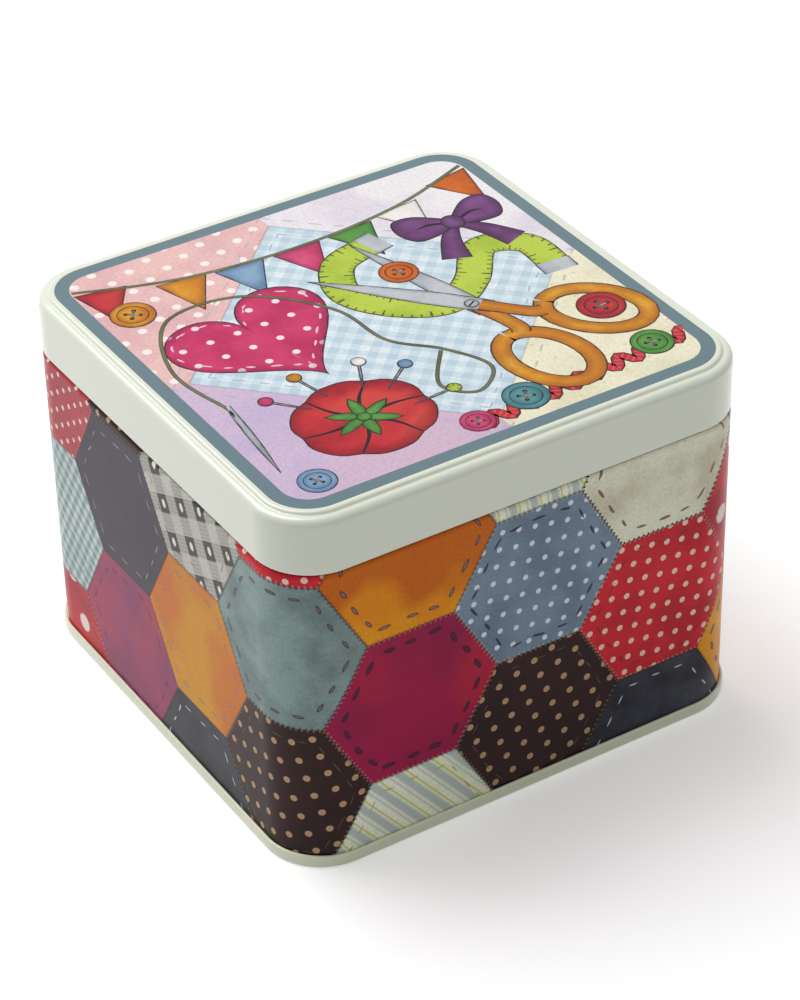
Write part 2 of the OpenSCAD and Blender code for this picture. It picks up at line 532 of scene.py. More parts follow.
    def coloured(self, graph: Graph, where: Socket, hem: Socket) -> Socket:
        """Adds the whole print's colour.

        Args:
            graph: The material's node tree.
            where: Place on the cloth.
            hem: Place along the edge and inside it.

        Returns:
            The colour.
        """
        ground = self.washed(graph, where)
        match self.pattern:
            case Pattern.DOTS:
                return self.dotted(graph, graph.cell(where, self.pitch), ground)
            case Pattern.STRIPES:
                return self.striped(graph, graph.cell(where, self.pitch), ground)
            case Pattern.GINGHAM | Pattern.TILES:
                return self.woven(graph, where, graph.cell(where, self.pitch), ground)
            case Pattern.RIBS:
                return self.ribbed(graph, hem, ground)
            case Pattern.TICKS:
                return self.ticked(graph, hem, ground)
        return ground

    def make(self) -> bpy.types.Material:
        """Builds the material.

        Returns:
            The material.
        """
        material = bpy.data.materials.new(f"{self.how}_{self.name}")
        graph = Graph(material)
        where = graph.add(UV_MAP, uv_map="cloth")
        hem = graph.add(UV_MAP, uv_map="hem")
        place = graph.add(COORDS, output="Object")
        wave = graph.add(NOISE, {"Vector": place, "Scale": 1 / (self.wave_mm * MM), "Detail": 1.0})
        bump = graph.add(BUMP, {"Height": wave, "Distance": self.wave_height_mm * MM})
        skin = {
            "Base Color": self.coloured(graph, where, hem),
            "Roughness": self.roughness,
            "Specular IOR Level": self.gleam,
            "Coat Weight": self.varnish,
            "Coat Roughness": self.varnish_roughness,
            "Normal": bump,
            "Coat Normal": bump,
        }
        graph.add(OUTPUT, {"Surface": graph.add(PRINCIPLED, skin)})
        return material


@dataclass(frozen=True, kw_only=True)
class Cotton(Printed):
    """Printed picture of a cotton patch: the wash of a cloth, its running stitches and its whipped edge."""

    stitch: str = "#3a2f33"
    core: str | None = None
    stitch_long: float = 3.1
    stitch_wide: float = 0.95
    stitch_in: float = 3.3
    stitch_shows: float = 0.9
    whip: str = "#2b2526"
    whip_shows: float = 0.7
    whip_every: float = 1.35
    whip_half: Point = (0.26, 0.42)
    whip_in: float = 0.22
    seam_shows: float = 0.6
    seam_edge: Point = (-0.05, 0.2)
    ragged_per_mm: float = 1.1
    ragged: float = 0.3

    def coloured(self, graph: Graph, where: Socket, hem: Socket) -> Socket:
        """Adds the cloth's colour with its stitches and its edge.

        Args:
            graph: The material's node tree.
            where: Place on the cloth.
            hem: Place along the edge and inside it.

        Returns:
            The colour.
        """
        core = self.core or self.stitch
        thread = Stitch(
            self.stitch, core, self.stitch_long, self.stitch_wide, self.stitch_in, self.stitch_shows
        )
        cloth = thread.sew(graph, hem, super().coloured(graph, where, hem))
        deep = graph.add(AXES, {0: hem}, output="Y")
        rough = graph.add(NOISE, {"Vector": hem, "Scale": self.ragged_per_mm, "Detail": 1.0})
        reach = graph.add(MATH, {0: rough, 1: -self.ragged, 2: deep}, operation="MULTIPLY_ADD")
        low, high = self.seam_edge
        seam = graph.add(RAMP, {"Value": reach, 1: low, 2: high, 3: 1.0, 4: 0.0})
        cloth = graph.over(seam, cloth, INK, self.seam_shows)
        step = graph.add(MATH, {0: graph.add(AXES, {0: hem}), 1: self.whip_every}, operation="MODULO")
        place = graph.add("ShaderNodeCombineXYZ", {0: step, 1: deep})
        loop = graph.spot(place, self.whip_half, (self.whip_every / 2, self.whip_in))
        return graph.over(loop, cloth, self.whip, self.whip_shows)


@dataclass(frozen=True, kw_only=True)
class Painted(Printed):
    """Printed picture of a hand-painted motif: a wash that darkens towards its edge, inside a pen line."""

    how: str = "painted"
    shade: str = "#6b4a50"
    shade_wide: float = 3.2
    shade_shows: float = 0.75
    shade_mm: float = 7.0
    shade_uneven: float = 1.6
    pen: float = 0.36
    pen_mm: float = 3.0
    pen_shows: float = 0.85
    pen_swell: float = 0.4
    seam: Stitch | None = None
    grain: float = 0.06

    def coloured(self, graph: Graph, where: Socket, hem: Socket) -> Socket:
        """Adds the motif's colour with its shaded edge and its pen line.

        Args:
            graph: The material's node tree.
            where: Place on the cloth.
            hem: Place along the edge and inside it.

        Returns:
            The colour.
        """
        body = super().coloured(graph, where, hem)
        deep = graph.add(AXES, {0: hem}, output="Y")
        uneven = graph.add(NOISE, {"Vector": where, "Scale": 1 / self.shade_mm, "Detail": 3.0})
        reach = graph.add(MATH, {0: uneven, 1: self.shade_wide * self.shade_uneven}, operation="MULTIPLY")
        near = graph.add(RAMP, {"Value": deep, 1: 0.0, 2: reach, 3: 1.0, 4: 0.0})
        body = graph.over(near, body, self.shade, self.shade_shows)
        if self.seam:
            body = self.seam.sew(graph, hem, body)
        wobble = graph.add(NOISE, {"Vector": where, "Scale": 1 / self.pen_mm, "Detail": 1.0})
        thin, thick = self.pen * (1 - self.pen_swell), self.pen * (1 + self.pen_swell)
        width = graph.add(RAMP, {"Value": wobble, 1: 0.3, 2: 0.7, 3: thin, 4: thick})
        mark = graph.add(MATH, {0: deep, 1: width}, operation="LESS_THAN")
        return graph.over(mark, body, INK, self.pen_shows)


@dataclass(frozen=True)
class Step:
    """One step of a path: a straight run, then a turn to the left or, if negative, to the right."""

    run: float
    turn: float = 0.0
    radius: float = 0.0


class Path:
    """A line in a plane, made of straight runs and round turns."""

    def __init__(self, start: Point, heading: float, steps: Sequence[Step]) -> None:
        """Lays the path out.

        Args:
            start: Where it starts.
            heading: The angle that it starts at, in degrees.
            steps: Its runs and turns. A turn's radius is the path's own.
        """
        self.pieces: list[tuple[float, float, Vector, float, float, float]] = []
        self.length = 0.0
        point = Vector(start)
        angle = math.radians(heading)
        for step in steps:
            if step.run > 0:
                self.pieces.append((self.length, step.run, point.copy(), angle, 0.0, 0.0))
                point = point + step.run * Vector((math.cos(angle), math.sin(angle)))
                self.length += step.run
            if step.turn:
                turn = math.radians(step.turn)
                arc = abs(turn) * step.radius
                self.pieces.append((self.length, arc, point.copy(), angle, turn, step.radius))
                side = math.copysign(step.radius, turn)
                centre = point + side * Vector((-math.sin(angle), math.cos(angle)))
                angle += turn
                point = centre - side * Vector((-math.sin(angle), math.cos(angle)))
                self.length += arc

    def at(self, length: float) -> tuple[Vector, Vector]:
        """Finds a point of the path.

        Args:
            length: A length along the path.

        Returns:
            The point there, and the unit vector to the right of the path.
        """
        piece = self.pieces[0]
        for candidate in self.pieces:
            if candidate[0] <= length + 1e-9:
                piece = candidate
        from_length, span, point, angle, turn, radius = piece
        way = length - from_length
        if not turn:
            ahead = Vector((math.cos(angle), math.sin(angle)))
            return point + way * ahead, Vector((ahead.y, -ahead.x))
        side = math.copysign(radius, turn)
        centre = point + side * Vector((-math.sin(angle), math.cos(angle)))
        now = angle + turn * way / span
        rightward = Vector((math.sin(now), -math.cos(now)))
        return centre + side * rightward, rightward

    def cuts(self, facet: float, guard: float) -> list[float]:
        """Gives the lengths at which a mesh along the path is cut.

        Args:
            facet: The most that one facet of a turn turns, in degrees.
            guard: Distance of the extra cut at each end of a straight run, which keeps its shading flat.

        Returns:
            Lengths inside the path, in order.
        """
        found: set[float] = set()
        for start, span, _, _, turn, _ in self.pieces:
            found.add(start)
            if turn:
                count = max(2, math.ceil(abs(math.degrees(turn)) / facet))
                found.update(start + span * k / count for k in range(1, count))
            elif span > 4 * guard:
                found.update((start + guard, start + span - guard))
        return sorted(x for x in found if 1e-6 < x < self.length - 1e-6)


def bent_path(start: Point, heading: float, sheet: float, steps: Sequence[Step]) -> Path:
    """Lays out the path along one face of a bent sheet that lies on the path's left.

    Args:
        start: Where it starts.
        heading: The angle that it starts at, in degrees.
        sheet: Thickness of the sheet.
        steps: Its runs and turns. A turn's radius is the inside radius of the bend.

    Returns:
        The path.
    """
    own = [Step(s.run, s.turn, s.radius + sheet if s.turn > 0 else s.radius) for s in steps]
    return Path(start, heading, own)


def jog(height: float, radius: float, slope: float, sheet: float) -> Point:
    """Works out a jog of two bends.

    Args:
        height: Height of the jog.
        radius: Inside radius of its bends.
        slope: Its angle, in degrees.
        sheet: Thickness of the sheet.

    Returns:
        The straight run between its bends, and the length that it takes up.
    """
    angle = math.radians(slope)
    bends = 2 * radius + sheet
    run = (height - bends * (1 - math.cos(angle))) / math.sin(angle)
    return run, bends * math.sin(angle) + run * math.cos(angle)


def deselect() -> None:
    """Deselects every object."""
    bpy.ops.object.select_all(action="DESELECT")


def pick(piece: Piece) -> None:
    """Selects one piece alone and makes it the active one.

    Args:
        piece: The piece.
    """
    deselect()
    piece.select_set(True)
    bpy.context.view_layer.objects.active = piece


def edit(piece: Piece) -> None:
    """Puts one piece alone in edit mode, with all of it selected.

    Args:
        piece: The piece.
    """
    pick(piece)
    bpy.ops.object.mode_set(mode="EDIT")
    bpy.ops.mesh.select_mode(type="FACE")
    bpy.ops.mesh.select_all(action="SELECT")


def leave() -> None:
    """Goes back to object mode."""
    bpy.ops.object.mode_set(mode="OBJECT")


def settle(piece: Piece) -> None:
    """Puts a piece's place, turn and scale in its mesh."""
    pick(piece)
    bpy.ops.object.transform_apply(location=True, rotation=True, scale=True)


def name_active(name: str) -> Piece:
    """Names the primitive that was just added and puts its place in its mesh.

    Args:
        name: The name.

    Returns:
        The piece.
    """
    piece = bpy.context.active_object
    piece.name = name
    piece.data.name = name
    settle(piece)
    return piece


def apply_modifier(piece: Piece, kind: str, **settings) -> None:
    """Adds a modifier with its settings and applies it.

    Args:
        piece: The piece.
        kind: Blender's name for the kind of modifier.
        settings: Properties of the modifier.
    """
    pick(piece)
    modifier = piece.modifiers.new(kind.lower(), kind)
    for key, value in settings.items():
        setattr(modifier, key, value)
    bpy.ops.object.modifier_apply(modifier=modifier.name)


def bisect_faces(
    piece: Piece, chosen: Callable[[bpy.types.MeshPolygon], bool], lines: Iterable[Line], snap: float
) -> None:
    """Cuts the chosen faces of a piece along straight lines seen from above.

    Args:
        piece: The piece, in the units of its mesh.
        chosen: Says whether a face is cut.
        lines: A point of each line and its direction, as four numbers.
        snap: Distance within which a line takes a vertex instead of a new point.
    """
    for x, y, along_x, along_y in lines:
        edit(piece)
        leave()
        for face in piece.data.polygons:
            face.select = chosen(face)
        bpy.ops.object.mode_set(mode="EDIT")
        across = Vector((along_y, -along_x, 0.0)).normalized()
        bpy.ops.mesh.bisect(plane_co=(x, y, 0.0), plane_no=across, threshold=snap)
        leave()


def write_map(piece: Piece, name: str, value: Callable[[bpy.types.MeshPolygon, Vector], Point]) -> None:
    """Writes a UV map from each face and the place of each of its corners.

    Args:
        piece: The piece.
        name: Name of the map.
        value: Gives the place on the map for a face and the place of one of its corners.
    """
    mesh = piece.data
    layer = mesh.uv_layers.get(name) or mesh.uv_layers.new(name=name, do_init=False)
    for face in mesh.polygons:
        for corner in face.loop_indices:
            layer.uv[corner].vector = value(face, mesh.vertices[mesh.loops[corner].vertex_index].co)


@dataclass(frozen=True)
class TinSizes:
    """The tin's driving sizes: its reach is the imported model's, the rest repeats the source's values."""

    width: float
    depth: float
    height: float
    corner: float = 14.5
    sheet: float = 0.28
    lid_edge_z: float = 81.8
    lid_step: float = 0.8
    roll: float = 1.5
    gap: float = 0.3
    seam_gap: float = 0.03
    jog_slope: float = 60.0
    guard: float = 0.3
    corner_facet: float = 3.75
    bend_facet: float = 12.0

    def outline(self) -> Path:
        """Lays out the wall's outer face from the middle of the back, anticlockwise seen from above.

        Returns:
            The line, with its length in millimetres.
        """
        across = self.width - 2 * self.corner
        along = self.depth - 2 * self.corner
        steps = [Step(run, 90.0, self.corner) for run in (across / 2, along, across, along)]
        return Path((0.0, self.depth / 2), 180.0, [*steps, Step(across / 2)])


class Blank:
    """Flat sheet, in millimetres, that is cut along lines and then bent to shape."""

    def __init__(self, name: str, tin: TinSizes, section: Path) -> None:
        """Lays out a sheet as long as the outline and as wide as the section's path, and cuts its bends.

        Args:
            name: Name of the piece.
            tin: The tin's sizes.
            section: The section that the sheet is bent to.
        """
        self.tin = tin
        self.outline = tin.outline()
        self.section = section
        deselect()
        middle = (self.outline.length / 2, section.length / 2, 0.0)
        bpy.ops.mesh.primitive_plane_add(size=1.0, location=middle)
        bpy.context.active_object.scale = (self.outline.length, section.length, 1.0)
        self.piece = name_active(name)
        self.cut([(s, 0.0, 0.0, 1.0) for s in self.outline.cuts(tin.corner_facet, tin.guard)])
        self.cut([(0.0, p, 1.0, 0.0) for p in section.cuts(tin.bend_facet, tin.guard)])

    def cut(self, lines: Iterable[Line], low: float = 0.0, high: float = 1e3) -> None:
        """Cuts the sheet along straight lines, where its faces lie between two places across it."""
        bisect_faces(self.piece, lambda face: low < face.center.y < high, lines, CUT_SNAP)

    def bend(self, groove: Callable[[float, float], float] = lambda s, p: 0.0) -> None:
        """Bends the flat sheet round the outline and along the section, and joins its ends.

        Args:
            groove: Depth that the sheet is pressed in at a place on it.
        """
        for vertex in self.piece.data.vertices:
            s, p = vertex.co.x, vertex.co.y
            base, outward = self.outline.at(s)
            (out, height), _ = self.section.at(p)
            place = base + (out - groove(s, p)) * outward
            vertex.co = Vector((place.x, place.y, height)) * MM
        edit(self.piece)
        bpy.ops.mesh.remove_doubles(threshold=1e-7)
        leave()

    def close_middle(self, reach: float) -> None:
        """Fills the open middle of the bent sheet.

        Args:
            reach: Half the width of the opening, in millimetres.
        """
        mesh = self.piece.data
        edit(self.piece)
        bpy.ops.mesh.select_mode(type="EDGE")
        bpy.ops.mesh.select_all(action="DESELECT")
        leave()
        counts: dict[tuple[int, int], int] = {}
        for face in mesh.polygons:
            for key in face.edge_keys:
                counts[key] = counts.get(key, 0) + 1
        limit = (reach + CUT_SNAP) * MM
        for line in mesh.edges:
            ends = [mesh.vertices[v].co for v in line.vertices]
            inside = all(max(abs(end.x), abs(end.y)) < limit for end in ends)
            line.select = inside and counts.get(line.key, 0) == 1
        bpy.ops.object.mode_set(mode="EDIT")
        bpy.ops.mesh.edge_face_add()
        leave()

    def thicken(self) -> None:
        """Gives the bent sheet its thickness, with the last of its materials on the inner face."""
        inside = len(self.piece.data.materials)
        apply_modifier(
            self.piece,
            "SOLIDIFY",
            thickness=self.tin.sheet * MM,
            offset=-1.0,
            use_even_offset=False,
            material_offset=inside,
            material_offset_rim=inside,
        )
        edit(self.piece)
        bpy.ops.mesh.normals_make_consistent(inside=False)
        bpy.ops.mesh.faces_shade_smooth()
        leave()


COTTONS = (
    # Washed cotton in a cloudy grey-green, darker where the dye pooled
    Cotton(
        name="teal_cotton", ground="#90a6a5", blot="#748887", stitch="#4a353b", core="#8c7a80",
        whip="#3b3537",
    ),
    # Deep magenta cotton with a redder bloom and heavy dark thread
    Cotton(
        name="magenta_cotton", ground="#a5144a", blot="#931246", glaze="#b8203b", stitch="#3a1530",
        core="#5a2340", stitch_long=3.6, stitch_wide=1.35, blot_mm=22.0, whip="#c99a86", whip_shows=0.4,
    ),
    # Hand-dyed cotton that runs from yellow to burnt orange
    Cotton(
        name="orange_cotton", ground="#e78b08", blot="#eda40c", glaze="#c65808", stitch="#4e3640",
        core="#a08b93", stitch_wide=1.1, blot_mm=20.0, whip="#6a3a20", whip_shows=0.4,
    ),
    # Hand-dyed golden cotton with a soft mauve thread
    Cotton(
        name="gold_cotton", ground="#d47819", blot="#ce6d1b", glaze="#d89c10", stitch="#86687a",
        core="#b99aa8", stitch_wide=0.9, stitch_shows=0.6, blot_mm=24.0, whip="#7a4a22", whip_shows=0.3,
    ),
    # Rose cotton that fades to plum
    Cotton(
        name="plum_cotton", ground="#a03d64", blot="#8a3a64", glaze="#ae3e55", stitch="#5a2340",
        core="#7a3a58", stitch_shows=0.6, blot_mm=20.0, whip="#6a2c50", whip_shows=0.3,
    ),
    # Flat charcoal cotton with a fine pale stitch
    Cotton(
        name="charcoal_cotton", ground="#46404b", blot="#3f3a44", stitch="#c9c6c4", stitch_wide=0.35,
        stitch_shows=0.45, whip="#2f2b31", whip_shows=0.3,
    ),
    # Nearly black navy cotton with a coarse slub and a pale stitch
    Cotton(
        name="navy_cotton", ground="#3b3e48", blot="#282a32", glaze="#4a4d56", stitch="#c4c9cb",
        core="#dfe2e2", stitch_wide=0.45, stitch_long=2.7, whip="#15161a", grain=0.14,
    ),
    # Unbleached calico, creased and slightly soiled, overcast in black
    Cotton(
        name="cream_cotton", ground="#ebead4", blot="#d1ccb3", stitch="#6a3f34", core="#9a7265",
        stitch_wide=0.75, blot_mm=16.0, whip="#1d1819", whip_shows=1.0,
    ),
    # Dark brown cotton with tan spots in slanting rows
    Cotton(
        name="brown_spot", ground="#341c1a", blot="#2c1618", pattern=Pattern.DOTS, ink="#c8a27d",
        second="#b08a64", pitch=5.15, dot=0.87, stitch="#7a7458", stitch_wide=0.35, stitch_shows=0.3,
        whip="#9a8468", whip_shows=0.45,
    ),
    # Dusty blue cotton with small pale spots
    Cotton(
        name="blue_spot", ground="#7e91a5", blot="#6f8195", pattern=Pattern.DOTS, ink="#e3ebf2",
        pitch=4.45, dot=0.72, stitch="#26222c", core="#4a4450", stitch_wide=0.7, whip="#c3bda8",
        whip_shows=0.5,
    ),
    # Bright red cotton with blush spots that are darker in the middle
    Cotton(
        name="red_spot", ground="#d92736", blot="#be212f", pattern=Pattern.DOTS, ink="#f9dccb",
        second="#f3bfa9", pitch=4.35, dot=0.8, stitch="#6b1220", stitch_wide=0.6, stitch_shows=0.4,
        whip="#d8a98e", whip_shows=0.45,
    ),
    # Faded red cotton with close white spots
    Cotton(
        name="rose_spot", ground="#c0414b", blot="#af3a46", pattern=Pattern.DOTS, ink="#f1e1d9",
        pitch=4.0, dot=0.68, stitch="#8a2430", stitch_shows=0.3, whip="#d9b0a8", whip_shows=0.3,
    ),
    # Scarlet cotton with few, large white spots
    Cotton(
        name="scarlet_spot", ground="#c62632", blot="#aa1c2a", pattern=Pattern.DOTS, ink="#f7e4e2",
        pitch=13.5, dot=2.45, stitch="#7a1520", stitch_shows=0.4, whip="#e0b0a4", whip_shows=0.4,
    ),
    # Small woven check in grey-green and white
    Cotton(
        name="aqua_gingham", ground="#d3dcd8", blot="#c3d0cd", pattern=Pattern.GINGHAM,
        ink="#719495", pitch=3.1, stitch="#7d9a9c", stitch_shows=0.3, whip="#5a7f82", whip_shows=0.4,
    ),
    # Grey check with a dark tile and a pale oval on each crossing
    Cotton(
        name="tile_check", ground="#ccc9c0", blot="#c3c0b6", pattern=Pattern.TILES, ink="#84817c",
        second="#383632", pitch=9.3, stitch="#3b3833", stitch_wide=0.4, stitch_shows=0.6, whip="#5a554e",
    ),
    # Shirting with soft grey stripes and yellow-green hairlines
    Cotton(
        name="pale_stripe", ground="#f7f7e4", blot="#ebf3d4", pattern=Pattern.STRIPES, ink="#a8b8b9",
        second="#cbce3d", pitch=5.6, stitch="#a3ab3c", stitch_wide=0.45, stitch_shows=0.7, whip="#8a8f70",
    ),
)

# Grounds of the lid's quilt: pale cottons with a light stitch and no whipped edge
PALE = {
    "stitch": "#a9a5b4", "core": "#c9c5cf", "stitch_wide": 0.55, "stitch_shows": 0.75, "whip_shows": 0.0,
    "seam_shows": 0.3, "varnish": 0.3,
}
GROUNDS = (
    # Pale blue check, the quiet middle of the quilt
    Cotton(
        name="sky_gingham", ground="#dfe9ee", blot="#d2e0e8", pattern=Pattern.GINGHAM, ink="#b3cbd8",
        pitch=4.6, **PALE,
    ),
    # Lilac cotton that clouds to pink
    Cotton(
        name="lilac_cotton", ground="#cdb6d0", blot="#bfaed0", glaze="#d3b3c6", blot_mm=24.0, **PALE,
    ),
    # Powder-pink cotton with white spots
    Cotton(
        name="pink_dot", ground="#e6bcb8", blot="#dcaeb0", pattern=Pattern.DOTS, ink="#f7ece9",
        pitch=6.4, dot=1.15, **PALE,
    ),
    # Straw-coloured cotton with faint green specks
    Cotton(
        name="straw_cotton", ground="#ebe6cb", blot="#e0dabb", pattern=Pattern.DOTS, ink="#d5d08c",
        pitch=7.5, dot=0.45, **PALE,
    ),
    # White cotton with a lilac shadow
    Cotton(
        name="white_quilt", ground="#e6e0e6", blot="#d8cfdb", glaze="#ece9ea", blot_mm=20.0, **PALE,
    ),
)

PAINTS = (
    # Magenta wash with white dots and a pink stitch, for the heart
    Painted(
        name="magenta", ground="#cc3c6c", blot="#b92b5f", shade="#8c1d49", pattern=Pattern.DOTS,
        ink="#f6e6ea", pitch=7.2, dot=0.95, seam=Stitch("#f0c7d4", "#f0c7d4", 2.8, 0.6, 2.2, 0.9),
    ),
    # Plain rose wash
    Painted(name="rose", ground="#d4557f", blot="#c53a6a", shade="#93244f"),
    # Mustard wash with amber pools, shaded brown at its edges
    Painted(name="mustard", ground="#dd9f31", blot="#cf8826", glaze="#c97a24", shade="#96551b"),
    # Plum wash like satin ribbon, dark at its edges
    Painted(name="plum", ground="#7a4a80", blot="#643768", shade="#3c2144", glaze="#8a5a90"),
    # Lime wash with dark ticks two millimetres apart
    Painted(
        name="lime", ground="#b9cc4c", blot="#a6bd3d", shade="#7d8f2c", pattern=Pattern.TICKS,
        ink="#3d4420", pitch=2.0, shade_wide=1.4,
    ),
    # Leaf-green wash
    Painted(name="leaf", ground="#5f9a48", blot="#4c8a3c", shade="#2f5f2c", shade_wide=2.0),
    # Grey-blue wash like worn denim
    Painted(name="denim", ground="#86a5c2", blot="#6f92b4", shade="#4a6a90", glaze="#94b0c9"),
    # Clear red wash
    Painted(name="red", ground="#c3333b", blot="#ad262f", shade="#741a24", glaze="#d0443f"),
    # Red wash with a wide dark edge that makes the cushion look round
    Painted(
        name="tomato", ground="#c23038", blot="#aa252f", shade="#6f1620", glaze="#d0483f",
        shade_wide=5.0,
    ),
    # Red wash with close pale ribs, as braid has
    Painted(
        name="red_knit", ground="#c8363f", blot="#b12a33", shade="#7d1c26", pattern=Pattern.RIBS,
        ink="#e0646a", pitch=1.4, shade_wide=1.2,
    ),
    # Teal wash
    Painted(name="teal", ground="#5f9aa0", blot="#4c868d", shade="#2f5f68"),
    # Burnt-orange wash
    Painted(name="orange", ground="#cf6b22", blot="#bd5a1c", shade="#84380f", shade_wide=1.6),
    # Bare white ground with a grey edge
    Painted(name="white", ground="#f3efea", blot="#e6dfdc", shade="#bdb3b6", shade_wide=1.6),
    # Cool grey wash that stands for polished steel
    Painted(name="steel", ground="#c0c4c9", blot="#a7acb3", shade="#6d737b", shade_wide=1.5, pen=0.3),
    # Olive wash with hardly a pen line, thin enough for thread
    Painted(
        name="thread", ground="#75785a", blot="#5f6348", shade="#3f422e", shade_wide=0.4, pen=0.08,
    ),
    # Near-black pen ink
    Painted(name="dark", ground="#3a2c30", blot="#2c2125", shade="#1d1518", pen=0.1),
)


@dataclass(frozen=True)
class Patch:
    """One hexagon of the patchwork: its cloth, and how far its pattern is turned anticlockwise."""

    cotton: str
    turn: float = 0.0


TEAL, MAGENTA, ORANGE = Patch("teal_cotton"), Patch("magenta_cotton"), Patch("orange_cotton")
GOLD, PLUM, CHARCOAL = Patch("gold_cotton"), Patch("plum_cotton"), Patch("charcoal_cotton")
NAVY, CREAM = Patch("navy_cotton"), Patch("cream_cotton")


@dataclass(frozen=True)
class Patchwork:
    """Hexagon patchwork round the walls, with its columns counted from the near corner along the front."""

    near_corner: float
    pitch: float = 34.2
    height: float = 39.2
    shift: float = -6.7
    middle_z: float = 59.1
    rows: int = 7
    first: int = 60
    cloth_apart: Point = (61.0, 37.0)
    stitches_apart: tuple[int, int] = (30, 4)
    columns: dict[int, tuple[Patch, Patch, Patch]] = field(default_factory=lambda: {
        -5: (MAGENTA, CREAM, Patch("blue_spot", 30)),
        -4: (NAVY, Patch("pale_stripe", 70), GOLD),
        -3: (Patch("rose_spot", 33), Patch("aqua_gingham", 61), Patch("scarlet_spot", 20)),
        -2: (Patch("brown_spot", 10), CHARCOAL, PLUM),
        -1: (Patch("tile_check", 24), GOLD, NAVY),
        0: (Patch("red_spot", 12), TEAL, Patch("brown_spot", 18)),
        1: (ORANGE, MAGENTA, Patch("pale_stripe", 39)),
        2: (Patch("pale_stripe", 4), Patch("blue_spot", -11), Patch("brown_spot", 19.6)),
        3: (CREAM, Patch("red_spot", -11.5), NAVY),
        4: (TEAL, Patch("scarlet_spot", 30), ORANGE),
        5: (CHARCOAL, Patch("aqua_gingham", 12), MAGENTA),
        6: (Patch("brown_spot", 5), PLUM, Patch("tile_check", 32)),
        7: (Patch("blue_spot", 20), GOLD, Patch("brown_spot", 15)),
        8: (ORANGE, Patch("rose_spot", 16), CREAM),
        9: (Patch("pale_stripe", 60), NAVY, TEAL),
    })

    @property
    def side(self) -> float:
        """Side of a hexagon."""
        return self.pitch / 1.5

    def lines(self, length: float) -> list[Line]:
        """Lays out the three sets of lines of the hexagons' grid.

        Args:
            length: Length of the sheet.

        Returns:
            A point of each line and its direction, by place along the sheet and height.
        """
        half = self.height / 2
        origin = self.near_corner + self.shift
        level = [(0.0, self.middle_z + k * half, 1.0, 0.0) for k in range(-3, 3)]
        first = -math.ceil((origin + 2 * self.height) / self.side)
        last = math.ceil((length - origin + 2 * self.height) / self.side)
        places = [origin + k * self.side for k in range(first, last)]
        rising = [(x, self.middle_z, self.side / 2, half) for x in places]
        falling = [(x, self.middle_z, -self.side / 2, half) for x in places]
        return level + rising + falling

    def regular(self, y: float) -> float:
        """Turns a height to that of a regular hexagon, which the print is within two hundredths of."""
        return y * math.sqrt(3) * self.side / self.height

    def reach(self, x: float, y: float) -> tuple[float, int]:
        """Gives how far a place lies towards the hexagon's nearest edge, and the number of that edge."""
        angles = [math.radians(30 + 60 * k) for k in range(6)]
        return max((x * math.cos(a) + self.regular(y) * math.sin(a), k) for k, a in enumerate(angles))

    def cell(self, s: float, z: float) -> tuple[int, int, float, float]:
        """Finds the hexagon at a place.

        Args:
            s: Place along the sheet.
            z: Height.

        Returns:
            Its column and row, and the place of its middle.
        """
        found = []
        guess = round((s - self.near_corner - self.shift) / self.pitch)
        for column in (guess - 1, guess, guess + 1):
            x = self.near_corner + self.shift + column * self.pitch
            low = self.middle_z if column % 2 == 0 else self.middle_z - self.height / 2
            row = round((z - low) / self.height)
            y = low + row * self.height
            found.append((self.reach(s - x, z - y)[0], column, row, x, y))
        return min(found)[1:]

    def number(self, column: int, row: int) -> int:
        """Gives a hexagon a number of its own, above nought."""
        return column * self.rows + row + self.first

    def start(self, number: int) -> Point:
        """Gives a hexagon's place on its cloth, so that no two of them show the same blots."""
        return self.cloth_apart[0] * number, self.cloth_apart[1] * number

    def hem(self, x: float, y: float, edge: int, number: int) -> Point:
        """Finds a place beside an edge of a hexagon.

        Args:
            x: Place along from the hexagon's middle.
            y: Height above the hexagon's middle.
            edge: Number of the edge.
            number: Number of the hexagon.

        Returns:
            The place along that edge, and the depth inside it.
        """
        angle = math.radians(30 + 60 * edge)
        tall = self.regular(y)
        depth = self.side * math.sqrt(3) / 2 - (x * math.cos(angle) + tall * math.sin(angle))
        stitches = self.stitches_apart[0] * number + self.stitches_apart[1] * edge
        return tall * math.cos(angle) - x * math.sin(angle) + stitches * STITCH_EVERY, depth

    def patch(self, column: int, row: int) -> Patch:
        """Gives the patch of a column and row, whose rows count up from the column's middle."""
        trio = self.columns[max(min(column, max(self.columns)), min(self.columns))]
        return trio[max(0, min(2, 1 - row))]


def turned(x: float, y: float, degrees: float, start: Point = (0.0, 0.0)) -> Point:
    """Gives a place measured from a start, along axes that are turned anticlockwise."""
    cos, sin = math.cos(math.radians(degrees)), math.sin(math.radians(degrees))
    return start[0] + x * cos + y * sin, start[1] + y * cos - x * sin


